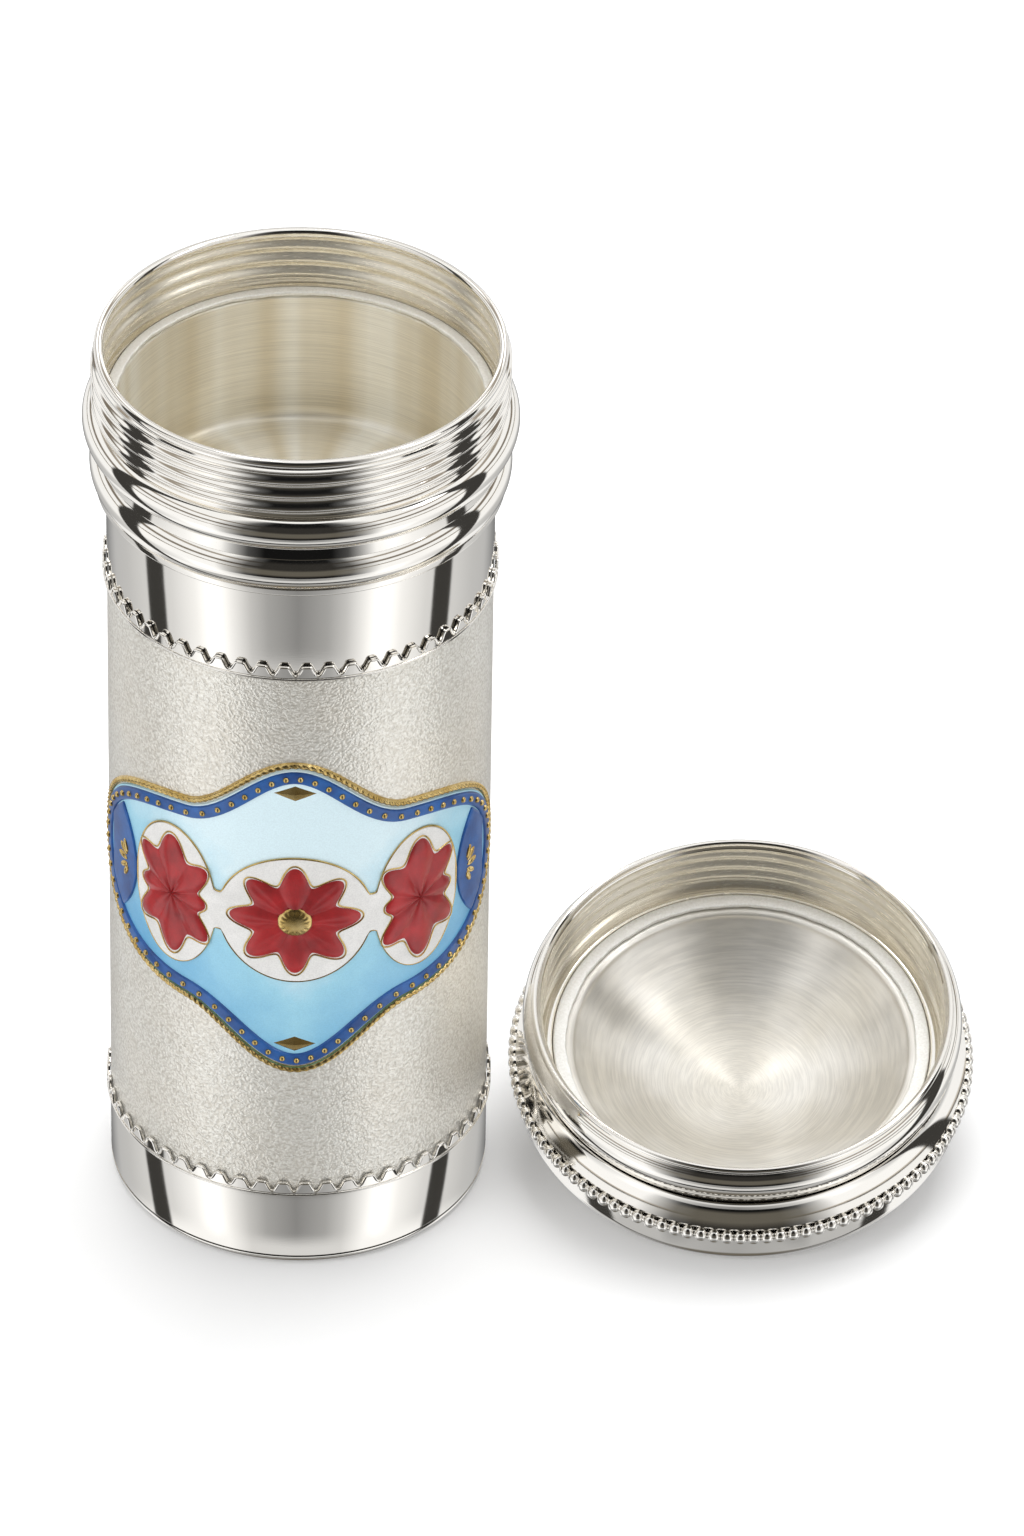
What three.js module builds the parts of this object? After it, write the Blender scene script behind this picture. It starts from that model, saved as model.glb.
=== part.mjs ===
// Screw-lidded silver canister, shown open with its lid lying upside down beside it.
// Millimetres, +Z up. The origin is the middle of the canister's underside, and -Y faces the viewer.
import * as THREE from 'three';
import { mergeVertices } from 'three/addons/utils/BufferGeometryUtils.js';

// Canister, heights counted up from the table
const bodyRadius = 25.0;
const sheet = 0.7;
const totalHeight = 131.0;
const neckHeight = 8.6;
const upperRingHeight = 4.8;
const upperRingProud = 3.0;
const ringGroove = 0.2;
const lowerRingHeight = 6.2;
const lowerRingProud = 2.1;
const lowerRingRound = 3.1;
const lowerRingSink = 0.35;
const flangeHeight = 1.0;
const flangeProud = 1.4;
const upperBandHeight = 11.8;
const lowerBandHeight = 11.8;
const baseEdge = 1.2;
const baseUpstand = 3.0;

// Stippled sleeve between the two gallery strips
const sleeveSheet = 0.35;
const sleeveCover = 0.25;
const stripHeight = 2.3;
const stripRidge = 0.55;
const stripThickness = 0.45;
const toothPitch = 2.87;
const toothTopShare = 0.42;

// Neck with its rolled screw thread
const threadPitch = 2.1;
const threadDepth = 0.7;
const threadCrestProud = 1.9;
const threadFade = 0.9;
const lipRadius = 0.65;
const lipProud = 1.45;
const neckSleeveSheet = 0.65;

// Inner cup and the pale ledge at its mouth
const cupSheet = 0.6;
const cupDepth = 28.2;
const cupCorner = 1.8;
const cupStepRadius = 19.6;
const cupStepHeight = 0.8;
const ledgeWidth = 1.4;
const ledgeSheet = 0.6;
const ledgeDepth = 8.6;

// Lid, depths counted from its rim towards its crown
const collarSheet = 0.85;
const collarBulge = 1.1;
const collarBulgeDepth = 3.0;
const creaseDepth = 6.8;
const shelfReach = 1.8;
const skirtHeight = 3.7;
const skirtFlare = 1.9;
const beadRadius = 0.85;
const beadPitch = 1.76;
const shoulderHeight = 5.6;
const shoulderRound = 2.8;
const shoulderCurve = 0.22;
const domeSheet = 0.7;
const domeSlopeDeg = 13.8;
const domeTipRadius = 1.6;
const linerSheet = 0.6;
const bowlDepth = 9.4;
const bowlShoulder = 1.0;
const lidLedgeWidth = 1.8;

// Where the lid lies: on one line of its cone, beside the canister
const lidGap = 2.25;
const lidBack = 1.9;

// Enamel plaque wrapped round the sleeve: its reach to each side in radians, other sizes along the
// arc and upwards
const plaqueMiddle = 57.7;
const plaqueReach = 1.36;
const plaqueSideHeight = 16.0;
const plaqueSquareness = 3.2;
const lobeHeight = 8.2;
const lobeHalfWidth = 15.0;
const enamelSheet = 0.2;
const reliefSheet = 0.3;
const frameWidth = 0.9;
const borderInset = 0.3;
const borderWidth = 1.9;
const panelReach = 10.0;
const panelRadius = 12.0;
const rosetteRadius = 8.6;
const rosettePetals = 8;
const bossRadius = 2.2;
const groundMargin = 1.4;
const groundNeck = 3.0;
const groundGap = 0.4;
const motifGap = 3.2;
const palmetteHeight = 9.5;
const lozengeHeight = 2.6;
const lozengeWidth = 6.0;

// Clearances: solder film between nested pieces, faces that seat, and the running thread
const slip = 0.1;
const seatGap = 0.15;
const threadGap = 0.35;
const closedRimGap = 0.4;

// Fineness of the faceted surfaces
const facets = 32;
const threadRowsPerPitch = 4;
const plaqueColumns = 20;

// Places that follow from the sizes above
const upperRingTop = totalHeight - neckHeight;
const upperRingBase = upperRingTop - upperRingHeight;
const lowerRingTop = upperRingBase - ringGroove;
const lowerRingBase = lowerRingTop - lowerRingHeight;
const flangeBase = lowerRingBase - flangeHeight;
const upperStripBase = flangeBase - upperBandHeight - stripHeight;
const lowerStripBase = lowerBandHeight;
const sleeveLow = lowerStripBase + sleeveCover;
const sleeveHigh = upperStripBase + sleeveCover;
const sleeveRadius = bodyRadius - slip / 2;
const waistRadius = sleeveRadius - sleeveSheet - slip;
const tubeInner = bodyRadius - sheet;
const waistInner = waistRadius - sheet;
const neckInner = bodyRadius + slip;
const neckOuter = neckInner + neckSleeveSheet;
const ringInner = neckOuter + slip;
const threadAmplitude = threadDepth / 2;
const threadMean = bodyRadius + threadCrestProud - threadAmplitude;
const ledgeTop = totalHeight - ledgeDepth;
const ledgeBase = ledgeTop - ledgeSheet;
const cupFlangeTop = ledgeBase - seatGap;
const cupFlangeBase = cupFlangeTop - cupSheet;
const tubeTop = cupFlangeBase - seatGap;
const cupOuter = tubeInner - slip;
const cupInner = cupOuter - cupSheet;
const cupFloor = totalHeight - cupDepth;

const lidThreadMean = threadMean + threadGap;
const collarOuter = lidThreadMean + threadAmplitude + collarSheet;
const lidSeatDepth = neckHeight - closedRimGap + seatGap;
const lidClosedHeight = upperRingTop + closedRimGap;
const ledgeRecess = lidThreadMean + slip;
const shelfInner = ledgeRecess - shelfReach;
const lidLedgeOuter = shelfInner - slip;
const lidLedgeInner = lidLedgeOuter - lidLedgeWidth;
const linerFlange = lidSeatDepth + ledgeSheet + seatGap;
const linerRadius = lidLedgeInner - bowlShoulder;
const collarEnd = linerFlange + linerSheet;
const skirtEnd = creaseDepth + skirtHeight;
const skirtInner = collarOuter + slip;
const skirtOuter = collarOuter + skirtFlare;
const beadDepth = skirtEnd + slip + beadRadius;
const beadCircle = skirtOuter + beadRadius / 4;
const domeStart = beadDepth + beadRadius + slip;
const domeRadius = beadCircle - beadRadius / 4;
const domeSlope = THREE.MathUtils.degToRad(domeSlopeDeg);
const shoulderRadius = domeRadius - shoulderRound;
const shoulderDepth = domeStart + shoulderHeight;
const coneApex = shoulderDepth + shoulderRadius * Math.tan(domeSlope);
const stripOuter = bodyRadius + slip + stripThickness;
const lidAside = stripOuter + lidGap + beadCircle + beadRadius;

const plaqueHalfWidth = bodyRadius * plaqueReach;
const panelNear = plaqueHalfWidth - panelReach;
const palmetteRoom = panelNear - groundGap - groundMargin - motifGap - rosetteRadius;
const palmetteWidth = palmetteRoom / 2;
const palmetteOffset = rosetteRadius + motifGap + palmetteWidth;

const silver = new THREE.MeshStandardMaterial({ color: 0xe4e2de, roughness: 0.12, metalness: 1 });
const satin = new THREE.MeshStandardMaterial({ color: 0xd9d2bf, roughness: 0.38, metalness: 1 });
const solder = new THREE.MeshStandardMaterial({ color: 0xd6d3c6, roughness: 0.6, metalness: 0.8 });
const stipple = new THREE.MeshStandardMaterial({ color: 0xd2cec6, roughness: 0.5, metalness: 0.9 });
const gold = new THREE.MeshStandardMaterial({ color: 0xc9ad62, roughness: 0.3, metalness: 1 });
const skyEnamel = new THREE.MeshStandardMaterial({ color: 0x8ccbe4, roughness: 0.25, metalness: 0 });
const blueEnamel = new THREE.MeshStandardMaterial({ color: 0x14509c, roughness: 0.25, metalness: 0 });
const whiteEnamel = new THREE.MeshStandardMaterial({ color: 0xece8e4, roughness: 0.35, metalness: 0 });
const redEnamel = new THREE.MeshStandardMaterial({ color: 0xb01c2c, roughness: 0.25, metalness: 0 });

// Area of an outline, positive when it runs anticlockwise
function outlineArea(outline) {
  return outline.reduce((sum, [x, y], i) => {
    const [nextX, nextY] = outline[(i + 1) % outline.length];
    return sum + (x * nextY - nextX * y) / 2;
  }, 0);
}

function anticlockwise(outline) {
  return outlineArea(outline) > 0 ? outline : [...outline].reverse();
}

// Position-only geometry with its shared vertices merged
function bare(geometry) {
  geometry.deleteAttribute('normal');
  geometry.deleteAttribute('uv');
  return mergeVertices(geometry, 1e-4);
}

// A turned piece from a closed profile of radius and height, or one that starts and ends on the axis
function turned(profile) {
  const onAxis = profile.some(([r]) => r === 0);
  let path = onAxis ? profile : anticlockwise(profile);
  if (onAxis && outlineArea(profile) < 0) path = [...profile].reverse();
  if (!onAxis) path = [...path, path[0]];
  const lathe = new THREE.LatheGeometry(path.map(([r, z]) => new THREE.Vector2(r, z)), facets);
  lathe.rotateX(Math.PI / 2);
  return bare(lathe);
}

// Skin through sections of points, as a loop or as a bar with both ends capped
function lofted(sections, isLoop) {
  const count = sections[0].length;
  const indices = [];
  const spans = isLoop ? sections.length : sections.length - 1;
  for (let i = 0; i < spans; i += 1) {
    const next = (i + 1) % sections.length;
    for (let j = 0; j < count; j += 1) {
      const k = (j + 1) % count;
      const [a, b, c, d] = [i * count + j, next * count + j, next * count + k, i * count + k];
      indices.push(a, b, c, a, c, d);
    }
  }
  const last = (sections.length - 1) * count;
  for (let j = 1; j < count - 1 && !isLoop; j += 1) {
    indices.push(0, j, j + 1, last, last + j + 1, last + j);
  }
  return indexed(sections.flat(2), indices);
}

// Point at an angle round the canister from the side that faces the viewer
function round(radius, angle, height) {
  return [radius * Math.sin(angle), -radius * Math.cos(angle), height];
}

// A closed ring whose section of radius and height changes with the angle round the axis
function swept(sectionAt, angles) {
  return lofted(angles.map((angle) => {
    return anticlockwise(sectionAt(angle)).map(([r, z]) => round(r, angle, z));
  }), true);
}

function indexed(positions, indices) {
  const geometry = new THREE.BufferGeometry();
  geometry.setAttribute('position', new THREE.Float32BufferAttribute(positions, 3));
  geometry.setIndex(indices);
  return geometry;
}

function evenAngles(count) {
  return Array.from({ length: count }, (_, i) => (2 * Math.PI * i) / count);
}

// Points on an arc of an ellipse, angles in degrees from the +radius direction
function arc(r, z, radiusR, radiusZ, fromDeg, toDeg, steps) {
  return Array.from({ length: steps + 1 }, (_, i) => {
    const angle = THREE.MathUtils.degToRad(fromDeg + ((toDeg - fromDeg) * i) / steps);
    return [r + radiusR * Math.cos(angle), z + radiusZ * Math.sin(angle)];
  });
}

// Radius of the screw's wave at a height and angle: one start, right handed, faded at both ends
function threadWave(height, angle, low, high) {
  const fade = Math.min(1, (height - low) / threadFade, (high - height) / threadFade);
  return threadAmplitude * Math.max(0, fade) * Math.cos((2 * Math.PI * height) / threadPitch - angle);
}

function threadHeights(low, high) {
  const steps = Math.max(4, Math.round(((high - low) / threadPitch) * threadRowsPerPitch));
  return Array.from({ length: steps + 1 }, (_, i) => low + ((high - low) * i) / steps);
}

function bodyTube() {
  return turned([
    [bodyRadius, baseEdge + seatGap],
    [bodyRadius, sleeveLow - slip],
    [waistRadius, sleeveLow - slip],
    [waistRadius, sleeveHigh + slip],
    [bodyRadius, sleeveHigh + slip],
    [bodyRadius, tubeTop],
    [tubeInner, tubeTop],
    [tubeInner, sleeveHigh + sheet],
    [waistInner, sleeveHigh + sheet],
    [waistInner, sleeveLow - sheet],
    [tubeInner, sleeveLow - sheet],
    [tubeInner, baseEdge + seatGap],
  ]);
}

function baseCap() {
  const edge = arc(bodyRadius - baseEdge, baseEdge, baseEdge, baseEdge, -90, 0, 2);
  const upstandOuter = tubeInner - slip;
  return turned([
    [0, 0],
    ...edge,
    [upstandOuter, baseEdge],
    [upstandOuter, baseEdge + baseUpstand],
    [upstandOuter - sheet, baseEdge + baseUpstand],
    [upstandOuter - sheet, sheet],
    [0, sheet],
  ]);
}

function innerCup() {
  const flangeRadius = bodyRadius;
  const bend = arc(cupInner - cupCorner, cupFloor + cupCorner, cupCorner, cupCorner, 0, -90, 2);
  const outerCorner = cupCorner + cupSheet;
  const outerBend = arc(cupInner - cupCorner, cupFloor + cupCorner, outerCorner, outerCorner, -90, 0, 1);
  return turned([
    [0, cupFloor - cupSheet],
    ...outerBend,
    [cupOuter, cupFlangeBase],
    [flangeRadius, cupFlangeBase],
    [flangeRadius, cupFlangeTop],
    [cupInner, cupFlangeTop],
    ...bend,
    [cupStepRadius + cupStepHeight / 2, cupFloor],
    [cupStepRadius, cupFloor + cupStepHeight],
    [0, cupFloor + cupStepHeight],
  ]);
}

// Flat ring that fills the seam between the cup and the neck
function seatRing() {
  const outer = bodyRadius;
  const inner = outer - ledgeWidth;
  return turned([[inner, ledgeBase], [outer, ledgeBase], [outer, ledgeTop], [inner, ledgeTop]]);
}

function neckCollar() {
  const lipMiddle = bodyRadius + lipProud - lipRadius;
  const lipHeight = totalHeight - lipRadius;
  const high = totalHeight - 2 * lipRadius;
  const low = upperRingTop + seatGap;
  const lip = arc(lipMiddle, lipHeight, lipRadius, lipRadius, -45, 225, 5);
  const heights = threadHeights(low, high);
  const rolled = (angle, offset) => heights.map((z) => {
    return [threadMean + offset + threadWave(z, angle, low, high), z];
  });
  return swept((angle) => [
    [neckOuter, flangeBase],
    [neckOuter, low - seatGap],
    ...rolled(angle, 0),
    ...lip,
    ...rolled(angle, -neckSleeveSheet).reverse(),
    [neckInner, low - seatGap],
    [neckInner, flangeBase],
  ], evenAngles(facets));
}

function upperRing() {
  const proud = bodyRadius + upperRingProud - ringInner;
  const middle = upperRingBase + upperRingHeight / 2;
  return turned(arc(ringInner, middle, proud, upperRingHeight / 2, -90, 90, 6));
}

// Half-round moulding that stands on its thin flange
function lowerRing() {
  const centre = bodyRadius + lowerRingProud - lowerRingRound;
  const reach = Math.acos((ringInner - centre) / lowerRingRound);
  const widest = lowerRingBase + lowerRingRound * Math.sin(reach) - lowerRingSink;
  const highest = THREE.MathUtils.radToDeg(reach);
  const lowest = THREE.MathUtils.radToDeg(Math.asin((lowerRingBase - widest) / lowerRingRound));
  const flangeRadius = bodyRadius + flangeProud;
  return turned([
    [ringInner, flangeBase],
    [flangeRadius, flangeBase],
    [flangeRadius, lowerRingBase],
    ...arc(centre, widest, lowerRingRound, lowerRingRound, lowest, 0, 2),
    ...arc(centre, widest, lowerRingRound, lowerRingRound, 0, highest, 4).slice(1),
  ]);
}

function stippledSleeve() {
  const inner = sleeveRadius - sleeveSheet;
  return turned([
    [inner, sleeveLow], [sleeveRadius, sleeveLow], [sleeveRadius, sleeveHigh], [inner, sleeveHigh],
  ]);
}

// Band of flat-topped arches that stand on a thin straight ridge
function galleryStrip(base) {
  const inner = stripOuter - stripThickness;
  const teeth = Math.round((2 * Math.PI * inner) / toothPitch);
  const pitch = (2 * Math.PI) / teeth;
  const flank = (1 - toothTopShare) / 2;
  const angles = [];
  const tops = new Map();
  for (let i = 0; i < teeth; i += 1) {
    for (const [share, height] of [[0, stripRidge], [flank, stripHeight], [1 - flank, stripHeight]]) {
      angles.push((i + share) * pitch);
      tops.set((i + share) * pitch, base + height);
    }
  }
  return swept((angle) => [
    [inner, base], [stripOuter, base], [stripOuter, tops.get(angle)], [inner, tops.get(angle)],
  ], angles);
}

function lidCollar() {
  const rim = collarOuter - collarSheet;
  const low = collarSheet;
  const high = lidSeatDepth - collarSheet;
  const bulge = collarOuter + collarBulge;
  const inside = (angle) => threadHeights(low, high).map((z) => {
    const wave = threadWave(z + lidClosedHeight, angle, low + lidClosedHeight, high + lidClosedHeight);
    return [lidThreadMean + wave, z];
  });
  return swept((angle) => [
    [rim, 0],
    [collarOuter - collarSheet / 4, 0],
    [collarOuter, collarSheet / 2],
    [collarOuter, collarSheet],
    [bulge - collarBulge / 4, (collarSheet + collarBulgeDepth) / 2],
    [bulge, collarBulgeDepth],
    [bulge - collarBulge / 3, (creaseDepth + collarBulgeDepth) / 2],
    [collarOuter, creaseDepth - seatGap],
    [collarOuter, collarEnd],
    [shelfInner, collarEnd],
    [shelfInner, lidSeatDepth],
    [ledgeRecess, lidSeatDepth],
    ...inside(angle).reverse(),
  ], evenAngles(facets));
}

function lidSeatRing() {
  const low = lidSeatDepth;
  const high = lidSeatDepth + ledgeSheet;
  return turned([[lidLedgeInner, low], [lidLedgeOuter, low], [lidLedgeOuter, high], [lidLedgeInner, high]]);
}

// Spun bowl that lines the lid, deepest in the middle, with a rounded shoulder under the ledge
function lidLiner() {
  const edge = linerFlange + bowlShoulder / 2;
  const depth = bowlDepth - bowlShoulder / 2;
  const sphere = (linerRadius ** 2 + depth ** 2) / (2 * depth);
  const steps = 4;
  const bowl = Array.from({ length: steps + 1 }, (_, i) => {
    const r = (linerRadius * i) / steps;
    return [r, edge + depth - sphere + Math.sqrt(sphere ** 2 - r ** 2)];
  });
  const back = bowl.map(([r, z]) => [r, z + linerSheet]).reverse();
  return turned([
    ...bowl,
    [linerRadius + bowlShoulder / 3, linerFlange + bowlShoulder / 6],
    [linerRadius + bowlShoulder, linerFlange],
    [lidLedgeOuter, linerFlange],
    [lidLedgeOuter, linerFlange + linerSheet],
    ...back,
  ]);
}

// Concave flare from the crease out to the beads, ending in a thin lip
function lidSkirt() {
  const steps = 4;
  const flare = Array.from({ length: steps + 1 }, (_, i) => {
    const share = i / steps;
    return [
      skirtInner + domeSheet / 4 + (skirtOuter - skirtInner - domeSheet / 4) * share ** 1.7,
      creaseDepth + (skirtHeight - domeSheet / 2) * share,
    ];
  });
  return turned([
    ...flare,
    [skirtOuter, skirtEnd],
    [skirtInner + domeSheet, skirtEnd],
    [skirtInner, skirtEnd - domeSheet],
    [skirtInner, creaseDepth],
  ]);
}

function lidBeadRing() {
  const beads = Math.round((2 * Math.PI * beadCircle) / beadPitch);
  const sides = 3;
  const crowns = new Map(evenAngles(2 * beads).map((angle, i) => [angle, i % 2 === 0]));
  return swept((angle) => {
    const radius = crowns.get(angle) ? beadRadius : beadRadius * 0.45;
    return arc(beadCircle, beadDepth, radius, radius, 0, 360 - 360 / sides, sides - 1);
  }, evenAngles(2 * beads));
}

// Rounded shoulder and a low cone, whose straight side is what the lid lies on
function lidDome() {
  const coneAt = (r) => coneApex - r * Math.tan(domeSlope);
  const tip = coneAt(domeTipRadius / 2);
  const shoulderStart = shoulderDepth - shoulderRound;
  return turned([
    [0, tip - domeSheet],
    [domeTipRadius, coneAt(domeTipRadius) - domeSheet],
    [shoulderRadius - domeSheet / 2, shoulderDepth - domeSheet],
    [domeRadius - domeSheet, shoulderStart],
    [domeRadius - domeSheet, domeStart],
    [domeRadius, domeStart],
    [domeRadius, shoulderStart],
    [domeRadius - shoulderRound * shoulderCurve, shoulderDepth - shoulderRound * (1 - shoulderCurve) / 2],
    [shoulderRadius, shoulderDepth],
    [domeTipRadius, coneAt(domeTipRadius)],
    [0, tip],
  ]);
}

// Half height of the plaque at a distance along the arc: a blunt oval with a lobe above and below
function plaqueHalfHeight(along) {
  const share = Math.abs(along) / plaqueHalfWidth;
  const side = plaqueSideHeight * Math.sqrt(Math.max(0, 1 - share ** plaqueSquareness));
  if (Math.abs(along) > lobeHalfWidth) return side;
  return side + lobeHeight * Math.cos((Math.PI * along) / (2 * lobeHalfWidth)) ** 2;
}

// Distances along the arc, closer together towards both ends
function columnsBetween(from, to, count) {
  const middle = (from + to) / 2;
  const reach = ((to - from) / 2) * 0.998;
  return Array.from({ length: count + 1 }, (_, i) => {
    return middle + reach * Math.sin(Math.PI * (i / count - 0.5));
  });
}

// Radii between which a layer of the plaque lies, counted from the sleeve outwards
function layer(number) {
  const thickness = number < 2 ? enamelSheet : reliefSheet;
  const below = Math.min(number, 2) * enamelSheet + Math.max(0, number - 2) * reliefSheet;
  const inner = sleeveRadius + (number + 1) * slip + below;
  return [inner, inner + thickness];
}

// Plate bent round the sleeve between a lower and an upper edge
function bentPlate(columns, lowAt, highAt, [inner, outer]) {
  return lofted(columns.map((along) => {
    const angle = along / bodyRadius;
    const [low, high] = [lowAt(along), highAt(along)];
    return [
      round(inner, angle, low), round(outer, angle, low),
      round(outer, angle, high), round(inner, angle, high),
    ];
  }), false);
}

function mirroredPlate(columns, halfHeightAt, radii) {
  return bentPlate(
    columns,
    (along) => plaqueMiddle - halfHeightAt(along),
    (along) => plaqueMiddle + halfHeightAt(along),
    radii,
  );
}

// Motif bent round the sleeve: its edge is a radius that changes with the angle about its middle
function motif(alongMiddle, heightMiddle, radiusAt, steps, rings, radii) {
  const positions = [];
  const indices = [];
  const layerSize = 1 + rings * steps;
  for (const radius of radii) {
    positions.push(...round(radius, alongMiddle / bodyRadius, heightMiddle));
    for (let ring = 1; ring <= rings; ring += 1) {
      for (let i = 0; i < steps; i += 1) {
        const angle = (2 * Math.PI * i) / steps;
        const reach = (radiusAt(angle) * ring) / rings;
        const along = alongMiddle + reach * Math.cos(angle);
        positions.push(...round(radius, along / bodyRadius, heightMiddle + reach * Math.sin(angle)));
      }
    }
  }
  const at = (side, ring, i) => side * layerSize + (ring === 0 ? 0 : 1 + (ring - 1) * steps + (i % steps));
  for (let i = 0; i < steps; i += 1) {
    for (let ring = 0; ring < rings; ring += 1) {
      const outer = [at(1, ring, i), at(1, ring + 1, i), at(1, ring + 1, i + 1), at(1, ring, i + 1)];
      const inner = [at(0, ring, i), at(0, ring, i + 1), at(0, ring + 1, i + 1), at(0, ring + 1, i)];
      indices.push(outer[0], outer[1], outer[2], inner[0], inner[2], inner[3]);
      if (ring > 0) indices.push(outer[0], outer[2], outer[3], inner[0], inner[1], inner[2]);
    }
    const [a, b] = [at(1, rings, i), at(0, rings, i)];
    const [c, d] = [at(0, rings, i + 1), at(1, rings, i + 1)];
    indices.push(a, b, c, a, c, d);
  }
  return indexed(positions, indices);
}

// Closed outline of the plaque, anticlockwise, as distances along the arc and heights
function plaqueOutline() {
  const columns = columnsBetween(-plaqueHalfWidth, plaqueHalfWidth, plaqueColumns);
  const lower = columns.map((along) => [along, plaqueMiddle - plaqueHalfHeight(along)]);
  const upper = columns.map((along) => [along, plaqueMiddle + plaqueHalfHeight(along)]);
  return [...lower, ...upper.reverse()];
}

// The outline moved outwards by a distance, or inwards by a negative one
function offsetOutline(outline, distance) {
  return outline.map(([along, height], i) => {
    const before = outline[(i + outline.length - 1) % outline.length];
    const after = outline[(i + 1) % outline.length];
    const direction = new THREE.Vector2(after[0] - before[0], after[1] - before[1]).normalize();
    return [along + direction.y * distance, height - direction.x * distance];
  });
}

// Flat band that follows the plaque's outline between two offsets from it
function outlineBand(outerOffset, innerOffset, [inner, outer]) {
  const outside = offsetOutline(plaqueOutline(), outerOffset);
  const inside = offsetOutline(plaqueOutline(), innerOffset);
  return lofted(outside.map(([along, height], i) => [
    round(inner, along / bodyRadius, height),
    round(outer, along / bodyRadius, height),
    round(outer, inside[i][0] / bodyRadius, inside[i][1]),
    round(inner, inside[i][0] / bodyRadius, inside[i][1]),
  ]), true);
}

function plaqueField() {
  const columns = columnsBetween(-plaqueHalfWidth, plaqueHalfWidth, plaqueColumns);
  return mirroredPlate(columns, plaqueHalfHeight, layer(0));
}

function plaqueFrame() {
  return outlineBand(slip + frameWidth, slip, [layer(0)[0], layer(1)[1]]);
}

function plaqueBorder() {
  return outlineBand(-borderInset, -borderInset - borderWidth, layer(1));
}

// Half height inside the outline moved inwards, read between its points
function insetHalfHeight(inset) {
  const moved = offsetOutline(plaqueOutline(), -inset).filter(([, height]) => height > plaqueMiddle);
  moved.sort((a, b) => a[0] - b[0]);
  return (along) => {
    const i = moved.findIndex(([position]) => position >= along);
    if (i <= 0) return 0;
    const [[x0, z0], [x1, z1]] = [moved[i - 1], moved[i]];
    return z0 + ((z1 - z0) * (along - x0)) / (x1 - x0) - plaqueMiddle;
  };
}

// Dark panel at one end of the plaque, bulging towards its middle
function endPanel(side) {
  const inset = borderInset + borderWidth + slip;
  const room = insetHalfHeight(inset);
  const far = plaqueHalfWidth - inset - borderWidth / 2;
  const centre = panelNear + panelRadius;
  const halfHeight = (along) => {
    const circle = Math.sqrt(Math.max(0, panelRadius ** 2 - (centre - Math.abs(along)) ** 2));
    return Math.min(circle, room(Math.abs(along)));
  };
  const columns = columnsBetween(panelNear, far, 6).map((along) => side * along);
  return mirroredPlate(side < 0 ? columns.reverse() : columns, halfHeight, layer(1));
}

// Pale ground behind the rosette and both palmettes, drawn in between them
function paleGround() {
  const ellipse = (along, middle, width, height) => {
    return height * Math.sqrt(Math.max(0, 1 - ((along - middle) / width) ** 2));
  };
  const wide = palmetteWidth + groundMargin;
  const reach = palmetteOffset + wide;
  const halfHeight = (along) => Math.max(
    Math.abs(along) < palmetteOffset ? groundNeck : 0,
    ellipse(along, 0, rosetteRadius + groundMargin, rosetteRadius + groundMargin),
    ellipse(Math.abs(along), palmetteOffset, wide, palmetteHeight + groundMargin),
  );
  return mirroredPlate(columnsBetween(-reach, reach, plaqueColumns), halfHeight, layer(1));
}

function rosette() {
  const petal = (angle) => rosetteRadius * (0.84 + 0.16 * Math.cos(rosettePetals * angle));
  return motif(0, plaqueMiddle, petal, 4 * rosettePetals, 2, layer(2));
}

function rosetteBoss() {
  return motif(0, plaqueMiddle, () => bossRadius, 10, 1, layer(3));
}

function palmette(side) {
  const lobe = (angle) => {
    const width = palmetteWidth + (palmetteHeight - palmetteWidth) * Math.abs(Math.sin(angle)) ** 1.5;
    return width * (0.86 + 0.14 * Math.cos(8 * angle));
  };
  return motif(side * palmetteOffset, plaqueMiddle, lobe, 24, 2, layer(2));
}

// Small gold diamond in the upper or lower lobe
function lozenge(side) {
  const halfTall = lozengeHeight / 2;
  const halfWide = lozengeWidth / 2;
  const clear = borderInset + borderWidth + 3 * slip + halfTall;
  const middle = plaqueMiddle + side * (plaqueHalfHeight(0) - clear);
  const edge = (angle) => 1 / (Math.abs(Math.cos(angle)) / halfWide + Math.abs(Math.sin(angle)) / halfTall);
  return motif(0, middle, edge, 8, 1, layer(1));
}

function piece(name, geometry, material) {
  const mesh = new THREE.Mesh(geometry, material);
  mesh.name = name;
  return mesh;
}

const canister = new THREE.Group();
canister.add(
  piece('body_tube', bodyTube(), silver),
  piece('base_cap', baseCap(), silver),
  piece('inner_cup', innerCup(), satin),
  piece('seat_ring', seatRing(), solder),
  piece('neck_collar', neckCollar(), silver),
  piece('upper_ring', upperRing(), silver),
  piece('lower_ring', lowerRing(), silver),
  piece('stippled_sleeve', stippledSleeve(), stipple),
  piece('upper_gallery_strip', galleryStrip(upperStripBase), silver),
  piece('lower_gallery_strip', galleryStrip(lowerStripBase), silver),
);

const plaque = new THREE.Group();
plaque.add(
  piece('plaque_field', plaqueField(), skyEnamel),
  piece('plaque_frame', plaqueFrame(), gold),
  piece('plaque_border', plaqueBorder(), blueEnamel),
  piece('left_panel', endPanel(-1), blueEnamel),
  piece('right_panel', endPanel(1), blueEnamel),
  piece('pale_ground', paleGround(), whiteEnamel),
  piece('rosette', rosette(), redEnamel),
  piece('rosette_boss', rosetteBoss(), gold),
  piece('left_palmette', palmette(-1), redEnamel),
  piece('right_palmette', palmette(1), redEnamel),
  piece('upper_lozenge', lozenge(1), gold),
  piece('lower_lozenge', lozenge(-1), gold),
);

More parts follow.
